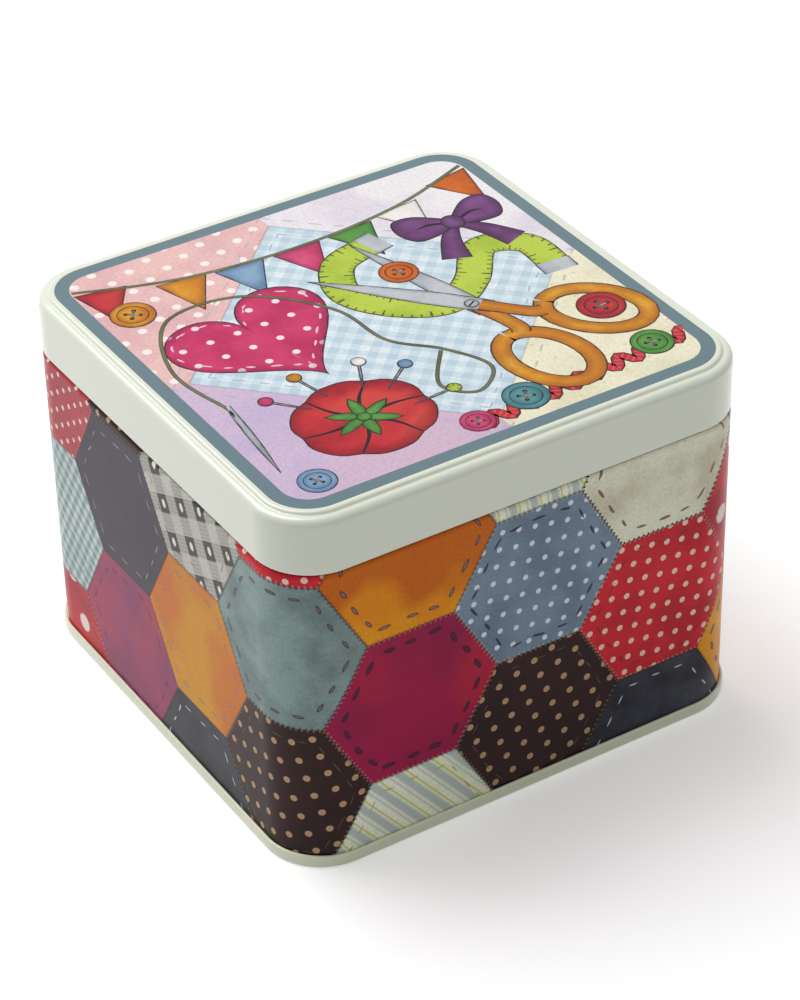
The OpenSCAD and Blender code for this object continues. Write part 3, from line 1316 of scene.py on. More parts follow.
@dataclass
class Wall:
    """The printed wall: a strip with a hooked foot, a lock seam, a stepped-in neck and a rolled top."""

    tin: TinSizes
    hook_run: float = 1.55
    shoulder_radius: float = 0.55
    neck_inset: float = 1.8
    neck_radius: float = 0.4
    lock_width: float = 4.0
    lock_depth: float = 0.84
    lock_low: float = 7.0
    lock_high: float = 77.9
    lock_line: float = 0.16
    lock_line_depth: float = 0.22
    lock_sink: float = 0.02
    lock_edge: float = 0.3
    lock_smooth: float = 40.0
    bare_edge: Point = (4.0, 3.0)
    print_lap: float = 1.0

    @property
    def hook_radius(self) -> float:
        """Inside radius of the body hook, which goes round the cover's hook."""
        return self.tin.sheet / 2 + self.tin.seam_gap

    @property
    def hook_z(self) -> float:
        """Height of the body hook's bend above the floor."""
        return 2 * self.tin.sheet + self.tin.seam_gap + self.hook_radius

    @property
    def shoulder_z(self) -> float:
        """Height of the shoulder that the lid sits over."""
        return self.tin.lid_edge_z - self.tin.gap

    def section(self) -> Path:
        """Lays out the wall's section from its body hook to the roll of the neck.

        Returns:
            The path of its outer face.
        """
        tin = self.tin
        shelf = self.neck_inset - self.shoulder_radius - tin.sheet - self.neck_radius
        neck_top = tin.height - tin.lid_step - tin.sheet - tin.gap
        rise = self.shoulder_z - self.hook_z - self.shoulder_radius - tin.sheet
        neck = neck_top - tin.roll / 2 - self.shoulder_z - self.neck_radius
        return bent_path(
            (2 * self.hook_radius, self.hook_z + self.hook_run),
            -90.0,
            tin.sheet,
            [
                Step(self.hook_run, -180.0, self.hook_radius),
                Step(rise, 90.0, self.shoulder_radius),
                Step(shelf, -90.0, self.neck_radius),
                Step(neck, 270.0, tin.roll / 2 - tin.sheet),
            ],
        )

    def dress(
        self, blank: Blank, work: Patchwork, low: float, high: float, lift: float, finishes: Finishes
    ) -> None:
        """Gives each face of the flat sheet its cloth and its maps.

        Args:
            blank: The flat sheet, cut along the patchwork's lines.
            work: The patchwork.
            low: Place across the sheet where the print starts.
            high: Place across the sheet where the print ends.
            lift: Height of the sheet's lower edge.
            finishes: The materials, by name.
        """
        mesh = blank.piece.data
        names = sorted({patch.cotton for trio in work.columns.values() for patch in trio})
        for name in (*names, "cream_enamel", "bare_tinplate"):
            mesh.materials.append(finishes[name])
        cells: dict[int, tuple[Patch, int, float, float, int]] = {}
        start, end = self.bare_edge[0], blank.outline.length - self.bare_edge[1]
        for face in mesh.polygons:
            s, z = face.center.x, face.center.y + lift
            column, row, x, y = work.cell(s, z)
            patch = work.patch(column, row)
            printed = low < face.center.y < high and start < s < end
            face.material_index = names.index(patch.cotton) if printed else len(names)
            cells[face.index] = (patch, work.number(column, row), x, y, work.reach(s - x, z - y)[1])

        def cloth(face: bpy.types.MeshPolygon, co: Vector) -> Point:
            """Gives the place of a face's corner on the patch's own cloth."""
            patch, number, x, y, _ = cells[face.index]
            return turned(co.x - x, co.y + lift - y, patch.turn, work.start(number))

        def hem(face: bpy.types.MeshPolygon, co: Vector) -> Point:
            """Gives the place of a face's corner along the patch's edge, and the depth inside it."""
            _, number, x, y, edge = cells[face.index]
            return work.hem(co.x - x, co.y + lift - y, edge, number)

        write_map(blank.piece, "cloth", cloth)
        write_map(blank.piece, "hem", hem)

    def build_strip(self, finishes: Finishes) -> Piece:
        """Builds the wall's strip.

        Args:
            finishes: The materials, by name.

        Returns:
            The strip.
        """
        blank = Blank("tin_wall", self.tin, self.section())
        foot = self.hook_run + math.pi * self.hook_radius
        low, high = foot, foot + self.shoulder_z - self.hook_z + self.print_lap
        lift = self.hook_z - foot
        length = blank.outline.length
        work = Patchwork(length * 3 / 8)
        seam, half = self.lock_width / 2, self.lock_line / 2
        upright = [seam + k * half for k in (-2, -1, 1, 2)]
        upright += [self.bare_edge[0], length - self.bare_edge[1]]
        blank.cut([(x, 0.0, 0.0, 1.0) for x in upright])
        blank.cut([(x, z - lift, a, b) for x, z, a, b in work.lines(length)], low, high)
        self.dress(blank, work, low, high, lift, finishes)

        def groove(s: float, p: float) -> float:
            """Depth of the line that the lock seam leaves outside."""
            within = self.lock_low < p + lift < self.lock_high
            return self.lock_line_depth if within and abs(s - seam) < 1.01 * half else 0.0

        blank.bend(groove)
        blank.thicken()
        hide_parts("body_wall")
        return blank.piece

    def build_lock(self, finishes: Finishes) -> Piece:
        """Builds the flat fold of the lock seam inside the back wall.

        Args:
            finishes: The materials, by name.

        Returns:
            The fold.
        """
        deselect()
        tall = self.lock_high - self.lock_low
        y = self.tin.depth / 2 - self.tin.sheet - self.lock_depth / 2 + self.lock_sink
        bpy.ops.mesh.primitive_cube_add(size=MM, location=(0.0, y * MM, (self.lock_low + tall / 2) * MM))
        bpy.context.active_object.scale = (self.lock_width, self.lock_depth, tall)
        fold = name_active("tin_lock_seam")
        apply_modifier(fold, "BEVEL", width=self.lock_edge * MM, segments=4, limit_method="ANGLE")
        edit(fold)
        bpy.ops.mesh.normals_make_consistent(inside=False)
        leave()
        pick(fold)
        bpy.ops.object.shade_smooth_by_angle(angle=math.radians(self.lock_smooth))
        fold.data.materials.append(finishes["bare_tinplate"])
        return fold

    def build(self, finishes: Finishes) -> list[tuple[Piece, str]]:
        """Builds the wall.

        Args:
            finishes: The materials, by name.

        Returns:
            Its pieces, each with its material slot.
        """
        return [(self.build_strip(finishes), "printed_wall"), (self.build_lock(finishes), "bare_tinplate")]


@dataclass
class Base:
    """The base: a recessed panel whose edge is rolled together with the foot of the wall."""

    tin: TinSizes
    seam_height: float = 3.2
    recess: float = 4.0
    foot_radius: float = 0.3
    chuck_radius: float = 0.5
    step: float = 1.0
    step_radius: float = 0.7
    margin: float = 5.0
    hook_run: float = 1.5
    blank_in: float = 12.0

    def section(self) -> Path:
        """Lays out the base's section from its plate to the hook inside the seam.

        Returns:
            The path of its outer face.
        """
        tin = self.tin
        t = tin.sheet
        hook = t / 2 + tin.seam_gap
        seam_out = 2 * hook + 2 * t + tin.seam_gap
        chuck_x = -t - tin.seam_gap
        run, width = jog(self.step, self.step_radius, tin.jog_slope, t)
        edge = chuck_x - t - self.chuck_radius
        return bent_path(
            (-self.blank_in, self.recess + self.step - t),
            0.0,
            t,
            [
                Step(self.blank_in + edge - self.margin - width, -tin.jog_slope, self.step_radius),
                Step(run, tin.jog_slope, self.step_radius),
                Step(self.margin, -90.0, self.chuck_radius),
                Step(self.recess - 2 * t - self.chuck_radius - self.foot_radius, 90.0, self.foot_radius),
                Step(seam_out - t - chuck_x - 2 * self.foot_radius, 90.0, self.foot_radius),
                Step(self.seam_height - 2 * t - hook - self.foot_radius, 180.0, hook),
                Step(self.hook_run),
            ],
        )

    def build(self, finishes: Finishes) -> list[tuple[Piece, str]]:
        """Builds the base.

        Args:
            finishes: The materials, by name.

        Returns:
            Its one piece, with its material slot.
        """
        blank = Blank("tin_base", self.tin, self.section())
        for name in ("rim_enamel", "bare_tinplate"):
            blank.piece.data.materials.append(finishes[name])
        blank.bend()
        blank.close_middle(self.tin.width / 2 - self.blank_in)
        blank.thicken()
        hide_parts("base_panel")
        return [(blank.piece, "cream_lacquer")]


@dataclass
class Lid:
    """The lid: a drawn cap with a rolled edge, a ring, and a raised panel with its border and quilt."""

    tin: TinSizes
    edge_radius: float = 1.8
    roll_turn: float = 250.0
    ring: float = 0.25
    step_radius: float = 0.55
    band_out: float = 4.0
    band_in: float = 7.5
    blank_in: float = 10.5
    film: float = 0.1
    diamond: float = 50.5
    quilt_turn: float = 45.0
    cloth_turn: float = 11.0
    cloth_start: Point = (300.0, 300.0)
    cloth_apart: float = 61.0

    def section(self) -> Path:
        """Lays out the lid's section from its rolled edge to the flat of its panel.

        Returns:
            The path of its outer face.
        """
        tin = self.tin
        t, roll = tin.sheet, tin.roll / 2
        angle = math.radians(self.roll_turn)
        run, width = jog(tin.lid_step - self.film, self.step_radius, tin.jog_slope, t)
        start = (-roll + roll * math.cos(angle), tin.lid_edge_z + roll - roll * math.sin(angle))
        skirt = tin.height - tin.lid_step - tin.lid_edge_z - roll - self.edge_radius
        return bent_path(
            start,
            90.0 - self.roll_turn,
            t,
            [
                Step(0.0, self.roll_turn, roll - t),
                Step(skirt, 90.0, self.edge_radius - t),
                Step(self.ring, -tin.jog_slope, self.step_radius),
                Step(run, tin.jog_slope, self.step_radius),
                Step(self.blank_in - self.edge_radius - self.ring - width),
            ],
        )

    def turn(self, number: int) -> float:
        """Gives the angle that a cloth of the quilt is turned by, in degrees."""
        return self.quilt_turn - self.cloth_turn * number

    def start(self, number: int) -> Point:
        """Gives the place on a cloth of the quilt where the lid's middle lies."""
        return self.cloth_start[0] + self.cloth_apart * number, self.cloth_start[1]

    def dress_panel(self, piece: Piece, first: int) -> None:
        """Cuts the panel to an on-point square with four corner blocks, and gives each its cloth and maps.

        Args:
            piece: The bent lid, with its panel in the first of the ground materials.
            first: That material's place.
        """
        c = self.diamond * MM
        seams = [(c, 0.0, 1.0, -1.0), (0.0, c, 1.0, 1.0), (-c, 0.0, 1.0, -1.0), (0.0, -c, 1.0, 1.0)]
        axes = [(0.0, 0.0, 1.0, 0.0), (0.0, 0.0, 0.0, 1.0)]
        bisect_faces(piece, lambda face: face.material_index == first, seams + axes, 1e-6)
        for face in piece.data.polygons:
            if face.material_index == first and abs(face.center.x) + abs(face.center.y) > c:
                right, back = face.center.x > 0, face.center.y > 0
                face.material_index = first + 1 + 2 * right + back

        def cloth(face: bpy.types.MeshPolygon, co: Vector) -> Point:
            """Gives the place of a face's corner on the quilt, turned with the on-point square."""
            number = max(0, face.material_index - first)
            return turned(co.x / MM, co.y / MM, self.turn(number), self.start(number))

        def hem(face: bpy.types.MeshPolygon, co: Vector) -> Point:
            """Finds a place beside the seam of the on-point square.

            Args:
                face: The face.
                co: Place of its corner.

            Returns:
                The place along the seam, and the distance from it.
            """
            right = math.copysign(1.0, face.center.x)
            back = math.copysign(1.0, face.center.y)
            far = (co.x * right + co.y * back) / MM - self.diamond
            along = (co.x * back - co.y * right) / MM / math.sqrt(2)
            return along + STITCH_EVERY * (40 + 20 * right + 7 * back), abs(far) / math.sqrt(2)

        write_map(piece, "cloth", cloth)
        write_map(piece, "hem", hem)

    def build(self, finishes: Finishes) -> list[tuple[Piece, str]]:
        """Builds the lid's cap.

        Args:
            finishes: The materials, by name.

        Returns:
            Its one piece, with its material slot.
        """
        section = self.section()
        blank = Blank("tin_lid", self.tin, section)
        band = [section.length - self.blank_in + x for x in (self.band_out, self.band_in)]
        blank.cut([(0.0, p, 1.0, 0.0) for p in band])
        mesh = blank.piece.data
        order = ("cream_enamel", "blue_grey_ink", *(ground.name for ground in GROUNDS), "bare_tinplate")
        for name in order:
            mesh.materials.append(finishes[name])
        for face in mesh.polygons:
            face.material_index = sum(face.center.y > p for p in band)
        blank.bend()
        blank.close_middle(self.tin.width / 2 - self.blank_in)
        mesh.polygons[len(mesh.polygons) - 1].material_index = 2
        self.dress_panel(blank.piece, 2)
        blank.thicken()
        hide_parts("lid")
        return [(blank.piece, "cream_lacquer")]


def flow(points: Sequence[Point], per: int = 8) -> list[Point]:
    """Draws a smooth line through points.

    Args:
        points: The points, in order.
        per: Number of steps between two of them.

    Returns:
        The points of the line.
    """
    guides = [Vector(p) for p in (points[0], *points, points[-1])]
    found: list[Point] = []
    for a, b, c, d in zip(guides, guides[1:], guides[2:], guides[3:]):
        for k in range(per):
            t = k / per
            place = b + 0.5 * t * (c - a + t * (2 * a - 5 * b + 4 * c - d + t * (3 * b - a - 3 * c + d)))
            found.append((place.x, place.y))
    return [*found, tuple(points[-1])]


def oval(half_x: float, half_y: float, centre: Point = (0.0, 0.0), count: int = 32) -> list[Point]:
    """Gives the outline of an oval, anticlockwise."""
    turns = [2 * math.pi * k / count for k in range(count)]
    return [(centre[0] + half_x * math.cos(a), centre[1] + half_y * math.sin(a)) for a in turns]


def between(start: Point, end: Point, count: int) -> list[Point]:
    """Gives even points from a start up to and with an end."""
    ways = (end[0] - start[0], end[1] - start[1])
    return [(start[0] + ways[0] * k / count, start[1] + ways[1] * k / count) for k in range(count + 1)]


def arc_lengths(line: Sequence[Point]) -> list[float]:
    """Gives each point's distance from the first one, along the line."""
    return [0.0, *accumulate(math.dist(a, b) for a, b in zip(line, line[1:]))]


@dataclass(frozen=True)
class Twin:
    """One copy of a painted thing: its place, its paints, its turn in degrees and its scale."""

    place: Point
    paints: tuple[str, ...]
    turn: float = 0.0
    scale: float = 1.0


@dataclass
class Film:
    """The flat layers of ink that make up one motif, each closed and thinner than a hair.

    Layers that overlap lie on levels of their own, also when they belong to two motifs.
    """

    name: str
    floor: float
    finishes: Finishes
    step: float = 0.007
    thick: float = 0.005
    cloth_start: float = 200.0
    layers: list[Piece] = field(default_factory=list)

    def lay(self, piece: Piece, level: int, paint: str, places: Sequence[Point], hems: Callable) -> None:
        """Shapes a flat primitive to a layer and closes it.

        Args:
            piece: The flat primitive.
            level: Number of the layer above the panel.
            paint: Name of its paint.
            places: Where each of its vertices goes, in millimetres.
            hems: Gives the place along the edge and inside it for a face and a vertex's number.
        """
        mesh = piece.data
        height = self.floor + level * self.step
        for vertex, (x, y) in zip(mesh.vertices, places):
            vertex.co = Vector((x, y, height)) * MM
        # The cloth's place is kept above nought, so that no pattern is mirrored there
        start = self.cloth_start
        write_map(piece, "cloth", lambda face, co: (co.x / MM + start, co.y / MM + start))
        hem = mesh.uv_layers.new(name="hem", do_init=False)
        for face in mesh.polygons:
            for corner in face.loop_indices:
                hem.uv[corner].vector = hems(face, mesh.loops[corner].vertex_index)
        mesh.materials.append(self.finishes[paint])
        apply_modifier(piece, "SOLIDIFY", thickness=self.thick * MM, offset=-1.0)
        edit(piece)
        bpy.ops.mesh.normals_make_consistent(inside=False)
        leave()
        self.layers.append(piece)

    def patch(self, outline: Sequence[Point], paint: str, level: int, centre: Point | None = None) -> None:
        """Adds a patch of ink, all of whose outline is seen from its centre.

        Args:
            outline: Its outline, anticlockwise.
            paint: Name of its paint.
            level: Number of the layer above the panel.
            centre: The point that its triangles meet in, or None for the mean of the outline.
        """
        count = len(outline)
        if centre is None:
            centre = (sum(x for x, _ in outline) / count, sum(y for _, y in outline) / count)
        deselect()
        bpy.ops.mesh.primitive_circle_add(vertices=count, radius=1.0, fill_type="TRIFAN")
        piece = name_active(self.name)
        spots = [v.co.copy() for v in piece.data.vertices]
        rim = [i for i, co in enumerate(spots) if co.length > 0.5]
        rim.sort(key=lambda i: math.atan2(spots[i].y, spots[i].x) % (2 * math.pi))
        order = {index: k for k, index in enumerate(rim)}
        places = [outline[order[i]] if i in order else centre for i in range(len(spots))]
        arcs = arc_lengths([*outline, outline[0]])

        def hems(face: bpy.types.MeshPolygon, vertex: int) -> Point:
            """Finds a place beside the outline.

            Args:
                face: The face.
                vertex: Number of its vertex.

            Returns:
                The place along the outline, and the distance from its edge.
            """
            first, second = sorted(order[v] for v in face.vertices if v in order)
            if (first, second) == (0, count - 1):
                first, second = second, count
            if vertex in order:
                return arcs[first if order[vertex] == first else second], 0.0
            a, b = Vector(outline[first]), Vector(outline[second % count])
            side = (b - a).normalized()
            reach = Vector(centre) - a
            return (arcs[first] + arcs[second]) / 2, abs(side.x * reach.y - side.y * reach.x)

        self.lay(piece, level, paint, places, hems)

    def stroke(self, line: Sequence[Point], halves: Sequence[float], paint: str, level: int) -> None:
        """Adds a band of ink along a line.

        Args:
            line: The points of its middle line.
            halves: Half its width at even steps along the line.
            paint: Name of its paint.
            level: Number of the layer above the panel.
        """
        count = len(line)
        deselect()
        bpy.ops.mesh.primitive_grid_add(x_subdivisions=count - 1, y_subdivisions=2, size=2.0)
        piece = name_active(self.name)
        ways = [Vector(b) - Vector(a) for a, b in zip((line[0], *line[:-1]), (*line[1:], line[-1]))]
        arcs = arc_lengths(line)
        grid = [(round((v.co.x + 1) * (count - 1) / 2), round(v.co.y)) for v in piece.data.vertices]
        widths = []
        for arc in arcs:
            share = arc / arcs[-1] * (len(halves) - 1)
            low = min(int(share), len(halves) - 2)
            widths.append(halves[low] + (halves[low + 1] - halves[low]) * (share - low))
        places = []
        for k, side in grid:
            left = Vector((-ways[k].y, ways[k].x)).normalized() * (side * widths[k])
            places.append((line[k][0] + left.x, line[k][1] + left.y))

        def hems(face: bpy.types.MeshPolygon, vertex: int) -> Point:
            """Place along the line and the distance from the band's edge."""
            k, side = grid[vertex]
            return arcs[k], widths[k] * (1 - abs(side))

        self.lay(piece, level, paint, places, hems)

    def join(self) -> Piece:
        """Joins all layers to one piece.

        Returns:
            The piece.
        """
        deselect()
        for layer in self.layers:
            layer.select_set(True)
        bpy.context.view_layer.objects.active = self.layers[0]
        if len(self.layers) > 1:
            bpy.ops.object.join()
        piece = bpy.context.active_object
        piece.name = self.name
        piece.data.name = self.name
        self.layers = [piece]
        return piece

    def repeat(self, twins: Iterable[Twin]) -> None:
        """Copies what is painted so far to other places, and takes the first one away.

        Args:
            twins: The copies.
        """
        first = self.join()
        self.layers = []
        for twin in twins:
            pick(first)
            bpy.ops.object.duplicate(linked=False)
            copy = bpy.context.active_object
            copy.location = (twin.place[0] * MM, twin.place[1] * MM, 0.0)
            copy.rotation_euler.z = math.radians(twin.turn)
            copy.scale = (twin.scale, twin.scale, 1.0)
            settle(copy)
            for slot, name in enumerate(twin.paints):
                copy.data.materials[slot] = self.finishes[name]
            self.layers.append(copy)
        bpy.data.objects.remove(first)
        self.join()


@dataclass(frozen=True)
class Bunting:
    """A string of cloth flags across the back of the picture."""

    name: str = "print_bunting"
    level: int = 1
    string: tuple[Point, ...] = ((-54.5, 49.5), (-30.0, 41.0), (0.0, 38.0), (30.0, 41.0), (54.5, 49.5))
    string_half: float = 0.55
    flag_half: float = 6.6
    flag_tall: float = 15.5
    flag_middle: float = 5.2
    drop: float = 0.3
    lean: float = 0.22
    cloths: tuple[str, ...] = ("red", "mustard", "denim", "rose", "leaf", "white", "orange")

    def paint(self, film: Film) -> None:
        """Paints one flag, copies it along the string and lays the string over the flags.

        Args:
            film: The layers to paint on.
        """
        tip, left, right = (0.0, -self.flag_tall), (-self.flag_half, 0.0), (self.flag_half, 0.0)
        sides = ((left, tip), (tip, right), (right, left))
        outline = [point for a, b in sides for point in between(a, b, 6)[:-1]]
        film.patch(outline, "red", self.level, (0.0, -self.flag_middle))
        line = flow(self.string, 6)
        twins = []
        for k, cloth in enumerate(self.cloths):
            x, y = line[round((k + 0.75) * (len(line) - 1) / (len(self.cloths) + 0.5))]
            twins.append(Twin((x, y - self.drop), (cloth,), x * self.lean))
        film.repeat(twins)
        film.stroke(line, (self.string_half,) * 2, "thread", self.level + 1)


@dataclass(frozen=True)
class Heart:
    """A dotted cloth heart with a running stitch."""

    name: str = "print_heart"
    level: int = 3
    middle: Point = (-27.0, 8.0)
    unit: float = 1.36
    turn: float = 12.0
    points: int = 56

    def paint(self, film: Film) -> None:
        """Paints the heart from its formula.

        Args:
            film: The layers to paint on.
        """
        outline = []
        for k in range(self.points):
            t = -2 * math.pi * (k + 0.5) / self.points
            tall = 13 * math.cos(t) - 5 * math.cos(2 * t) - 2 * math.cos(3 * t) - math.cos(4 * t)
            wide = 16 * math.sin(t) ** 3
            outline.append(turned(wide * self.unit, tall * self.unit, -self.turn, self.middle))
        film.patch(outline, "magenta", self.level, self.middle)


@dataclass(frozen=True)
class Scissors:
    """Open scissors with mustard bows."""

    name: str = "print_scissors"
    level: int = 5
    screw: Point = (21.0, -7.0)
    screw_radius: float = 1.9
    leans: tuple[float, float] = (104.0, 132.0)
    blade: float = 40.0
    heel: float = 5.0
    blade_halves: tuple[float, ...] = (2.6, 3.1, 2.9, 2.2, 1.3, 0.15)
    shank: float = 14.0
    shank_halves: tuple[float, ...] = (2.4, 2.2, 2.4)
    bow_back: float = 28.5
    bow_out: float = 5.1
    bow_long: float = 12.5
    bow_wide: float = 8.6
    bow_half: float = 2.5

    def paint_half(self, film: Film, level: int, lean: float, side: float) -> None:
        """Paints one blade with its shank and bow.

        Args:
            film: The layers to paint on.
            level: Number of the blade's layer.
            lean: The blade's angle, in degrees.
            side: The side that its bow stands out to: 1 for left, -1 for right.
        """
        along, across = math.cos(math.radians(lean)), math.sin(math.radians(lean))

        def spot(ahead: float, out: float) -> Point:
            """Place ahead of the screw along the blade and out to the bow's side."""
            x = self.screw[0] + ahead * along - side * out * across
            return x, self.screw[1] + ahead * across + side * out * along

        edge = between(spot(-self.heel, 0.0), spot(self.blade, 0.0), 8)
        film.stroke(edge, self.blade_halves, "steel", level)
        shank = flow([spot(-2.0, 0.0), spot(-self.shank, 0.0), spot(-self.shank - 3.0, 1.5)], 5)
        film.stroke(shank, self.shank_halves, "mustard", level + 1)
        turns = [2 * math.pi * k / 28 for k in range(29)]
        ring = [
            spot(self.bow_long * math.cos(a) - self.bow_back, self.bow_out + self.bow_wide * math.sin(a))
            for a in turns
        ]
        film.stroke(ring, (self.bow_half,) * 2, "mustard", level)

    def paint(self, film: Film) -> None:
        """Paints both halves and the screw.

        Args:
            film: The layers to paint on.
        """
        self.paint_half(film, self.level, self.leans[0], 1.0)
        self.paint_half(film, self.level + 3, self.leans[1], -1.0)
        x, y = self.screw
        film.patch(oval(self.screw_radius, self.screw_radius, self.screw, 16), "steel", self.level + 5)
        slot = between((x - 1.1, y - 0.6), (x + 1.1, y + 0.6), 2)
        film.stroke(slot, (0.25, 0.25), "dark", self.level + 6)


@dataclass(frozen=True)
class Pincushion:
    """A red tomato pincushion with sewn gores and a crown of leaves."""

    name: str = "print_pincushion"
    level: int = 4
    middle: Point = (-25.0, -33.5)
    radius: float = 17.0
    dent: float = 1.1
    squash: float = 0.9
    gores: int = 6
    gore_reach: float = 15.6
    gore_bow: float = 1.3
    leaf_long: float = 9.4
    leaf_turn: float = 24.0
    leaf: tuple[Point, ...] = (
        (0.0, -1.0), (0.4, -1.9), (0.75, -1.2), (1.0, 0.3), (0.72, 1.5), (0.35, 1.8), (0.0, 1.0),
    )

    def spot(self, degrees: float, far: float, out: float = 0.0) -> Point:
        """Finds a place on the cushion.

        Args:
            degrees: Angle of the line that it is measured along.
            far: Distance from the middle.
            out: Distance to the left of the line.

        Returns:
            The place.
        """
        a = math.radians(degrees)
        x = self.middle[0] + far * math.cos(a) - out * math.sin(a)
        return x, self.middle[1] + self.squash * (far * math.sin(a) + out * math.cos(a))

    def paint(self, film: Film) -> None:
        """Paints the cushion, its gores and its crown.

        Args:
            film: The layers to paint on.
        """
        lobes = []
        for degrees in range(0, 360, 6):
            dent = self.dent * abs(math.cos(math.radians(degrees * self.gores / 2))) ** 6
            lobes.append(self.spot(degrees, self.radius - dent))
        film.patch(lobes, "tomato", self.level, self.middle)
        for k in range(self.gores):
            degrees = 360.0 * k / self.gores
            half = self.spot(degrees, self.gore_reach / 2, self.gore_bow)
            seam = flow([self.middle, half, self.spot(degrees, self.gore_reach)], 4)
            film.stroke(seam, (0.5, 0.45, 0.2), "dark", self.level + 1)
            leaf = [self.spot(degrees + self.leaf_turn, far * self.leaf_long, out) for far, out in self.leaf]
            film.patch(leaf, "leaf", self.level + 2 + k % 2)
        film.patch(oval(1.9, 1.8, self.middle, 16), "leaf", self.level + 4)


@dataclass(frozen=True)
class Pins:
    """Pins with coloured heads, stuck in the pincushion's side."""

    name: str = "print_pins"
    level: int = 8
    long: float = 11.0
    head: float = 1.9
    stem_halves: tuple[float, ...] = (0.2, 0.45, 0.45)
    spots: tuple[tuple[Point, float, str], ...] = (
        ((-33.0, -24.5), 40.0, "rose"),
        ((-27.5, -22.0), 12.0, "mustard"),
        ((-19.0, -23.5), -26.0, "white"),
        ((-14.5, -27.0), -52.0, "denim"),
        ((-13.0, -35.5), -86.0, "lime"),
    )

    def paint(self, film: Film) -> None:
        """Paints one pin and copies it.

        Args:
            film: The layers to paint on.
        """
        film.patch(oval(self.head, self.head, (0.0, self.long), 16), "rose", self.level + 4)
        stem = between((0.0, 0.0), (0.0, self.long - 1.4), 4)
        film.stroke(stem, self.stem_halves, "steel", self.level)
        film.repeat(Twin(place, (colour, "steel"), turn) for place, turn, colour in self.spots)


@dataclass(frozen=True)
class TapeMeasure:
    """A lime tape measure in waves, with a tin clip on each end."""

    name: str = "print_tape"
    level: int = 2
    route: tuple[Point, ...] = (
        (47.5, -2.0), (47.0, 9.0), (37.0, 13.5), (27.0, 2.0), (16.0, -4.0), (5.0, 2.0), (-1.0, 13.0),
        (4.0, 25.0), (15.0, 29.0),
    )
    half: float = 4.4
    clip_half: float = 4.6
    clip_long: float = 4.2

    def paint(self, film: Film) -> None:
        """Paints the tape and its clips.

        Args:
            film: The layers to paint on.
        """
        line = flow(self.route, 7)
        film.stroke(line, (self.half,) * 2, "lime", self.level)
        for last, before in ((-1, -3), (0, 2)):
            end = Vector(line[last])
            way = (end - Vector(line[before])).normalized()
            clip = between(tuple(end - way * 0.6), tuple(end + way * self.clip_long), 2)
            film.stroke(clip, (self.clip_half,) * 2, "steel", self.level + 1)


@dataclass(frozen=True)
class RibbonBow:
    """A plum ribbon tied in a bow."""

    name: str = "print_bow"
    level: int = 4
    knot: Point = (38.0, 27.0)
    knot_half: Point = (3.0, 3.4)
    loop: tuple[Point, ...] = (
        (0.0, 1.6), (7.0, 6.8), (13.0, 6.4), (14.6, 0.6), (12.0, -4.6), (6.0, -4.2), (0.0, -1.6),
    )
    loop_middle: Point = (7.5, 1.6)
    loop_lift: float = 0.1
    tail: tuple[Point, ...] = ((0.0, 0.0), (5.0, -7.0), (8.5, -15.0))
    tail_halves: tuple[float, ...] = (1.4, 2.6, 3.8)
    fold: tuple[Point, ...] = ((2.0, 0.4), (6.0, 2.0), (9.5, 1.6))
    fold_halves: tuple[float, ...] = (0.5, 0.5, 0.1)

    def spots(self, points: Iterable[Point], side: float) -> list[Point]:
        """Gives places out from the knot, to the right for a side of 1 and to the left for -1."""
        return [(self.knot[0] + side * x, self.knot[1] + y) for x, y in points]

    def paint(self, film: Film) -> None:
        """Paints the tails, the loops with their folds, and the knot.

        Args:
            film: The layers to paint on.
        """
        lifted = [(x, y + self.loop_lift * x) for x, y in self.loop]
        for side in (-1.0, 1.0):
            film.stroke(flow(self.spots(self.tail, side), 6), self.tail_halves, "plum", self.level)
            loop = flow(self.spots(lifted, side), 5)
            middle = self.spots([self.loop_middle], side)[0]
            film.patch(loop if side < 0 else loop[::-1], "plum", self.level + 1, middle)
            film.stroke(flow(self.spots(self.fold, side), 4), self.fold_halves, "dark", self.level + 2)
        film.patch(oval(*self.knot_half, self.knot, 20), "plum", self.level + 3)


@dataclass(frozen=True)
class RickRack:
    """Red rick-rack braid across the front of the picture."""

    name: str = "print_rick_rack"
    level: int = 3
    start: Point = (-8.0, -50.5)
    stride: Point = (0.76, 0.07)
    count: int = 84
    wave: float = 1.9
    half: float = 1.55

    def paint(self, film: Film) -> None:
        """Paints the braid as a wave with eight steps in each turn.

        Args:
            film: The layers to paint on.
        """
        line = []
        for k in range(self.count):
            swing = self.wave * math.sin(k * math.pi / 4)
            line.append((self.start[0] + self.stride[0] * k, self.start[1] + self.stride[1] * k + swing))
        film.stroke(line, (self.half,) * 2, "red_knit", self.level)


@dataclass(frozen=True)
class Needle:
    """A needle with its olive thread in loose loops."""

    name: str = "print_needle"
    level: int = 9
    thread: tuple[Point, ...] = (
        (-48.5, -14.0), (-51.5, 6.0), (-42.0, 26.0), (-22.0, 26.0), (-7.0, 9.0), (-4.0, -9.0), (5.0, -20.0),
        (10.0, -32.0), (2.0, -39.0), (-4.0, -32.0), (4.0, -20.0),
    )
    thread_half: float = 0.5
    point: Point = (-51.5, -42.0)
    head: Point = (-48.1, -13.0)
    halves: tuple[float, ...] = (0.12, 0.85, 1.0, 0.7)
    eye: tuple[Point, Point] = ((-48.9, -17.6), (-48.5, -14.6))
    eye_halves: tuple[float, ...] = (0.12, 0.36, 0.12)

    def paint(self, film: Film) -> None:
        """Paints the thread, the needle and its eye.

        Args:
            film: The layers to paint on.
        """
        film.stroke(flow(self.thread, 9), (self.thread_half,) * 2, "thread", self.level)
        film.stroke(between(self.point, self.head, 8), self.halves, "steel", self.level + 1)
        film.stroke(between(*self.eye, 2), self.eye_halves, "dark", self.level + 2)


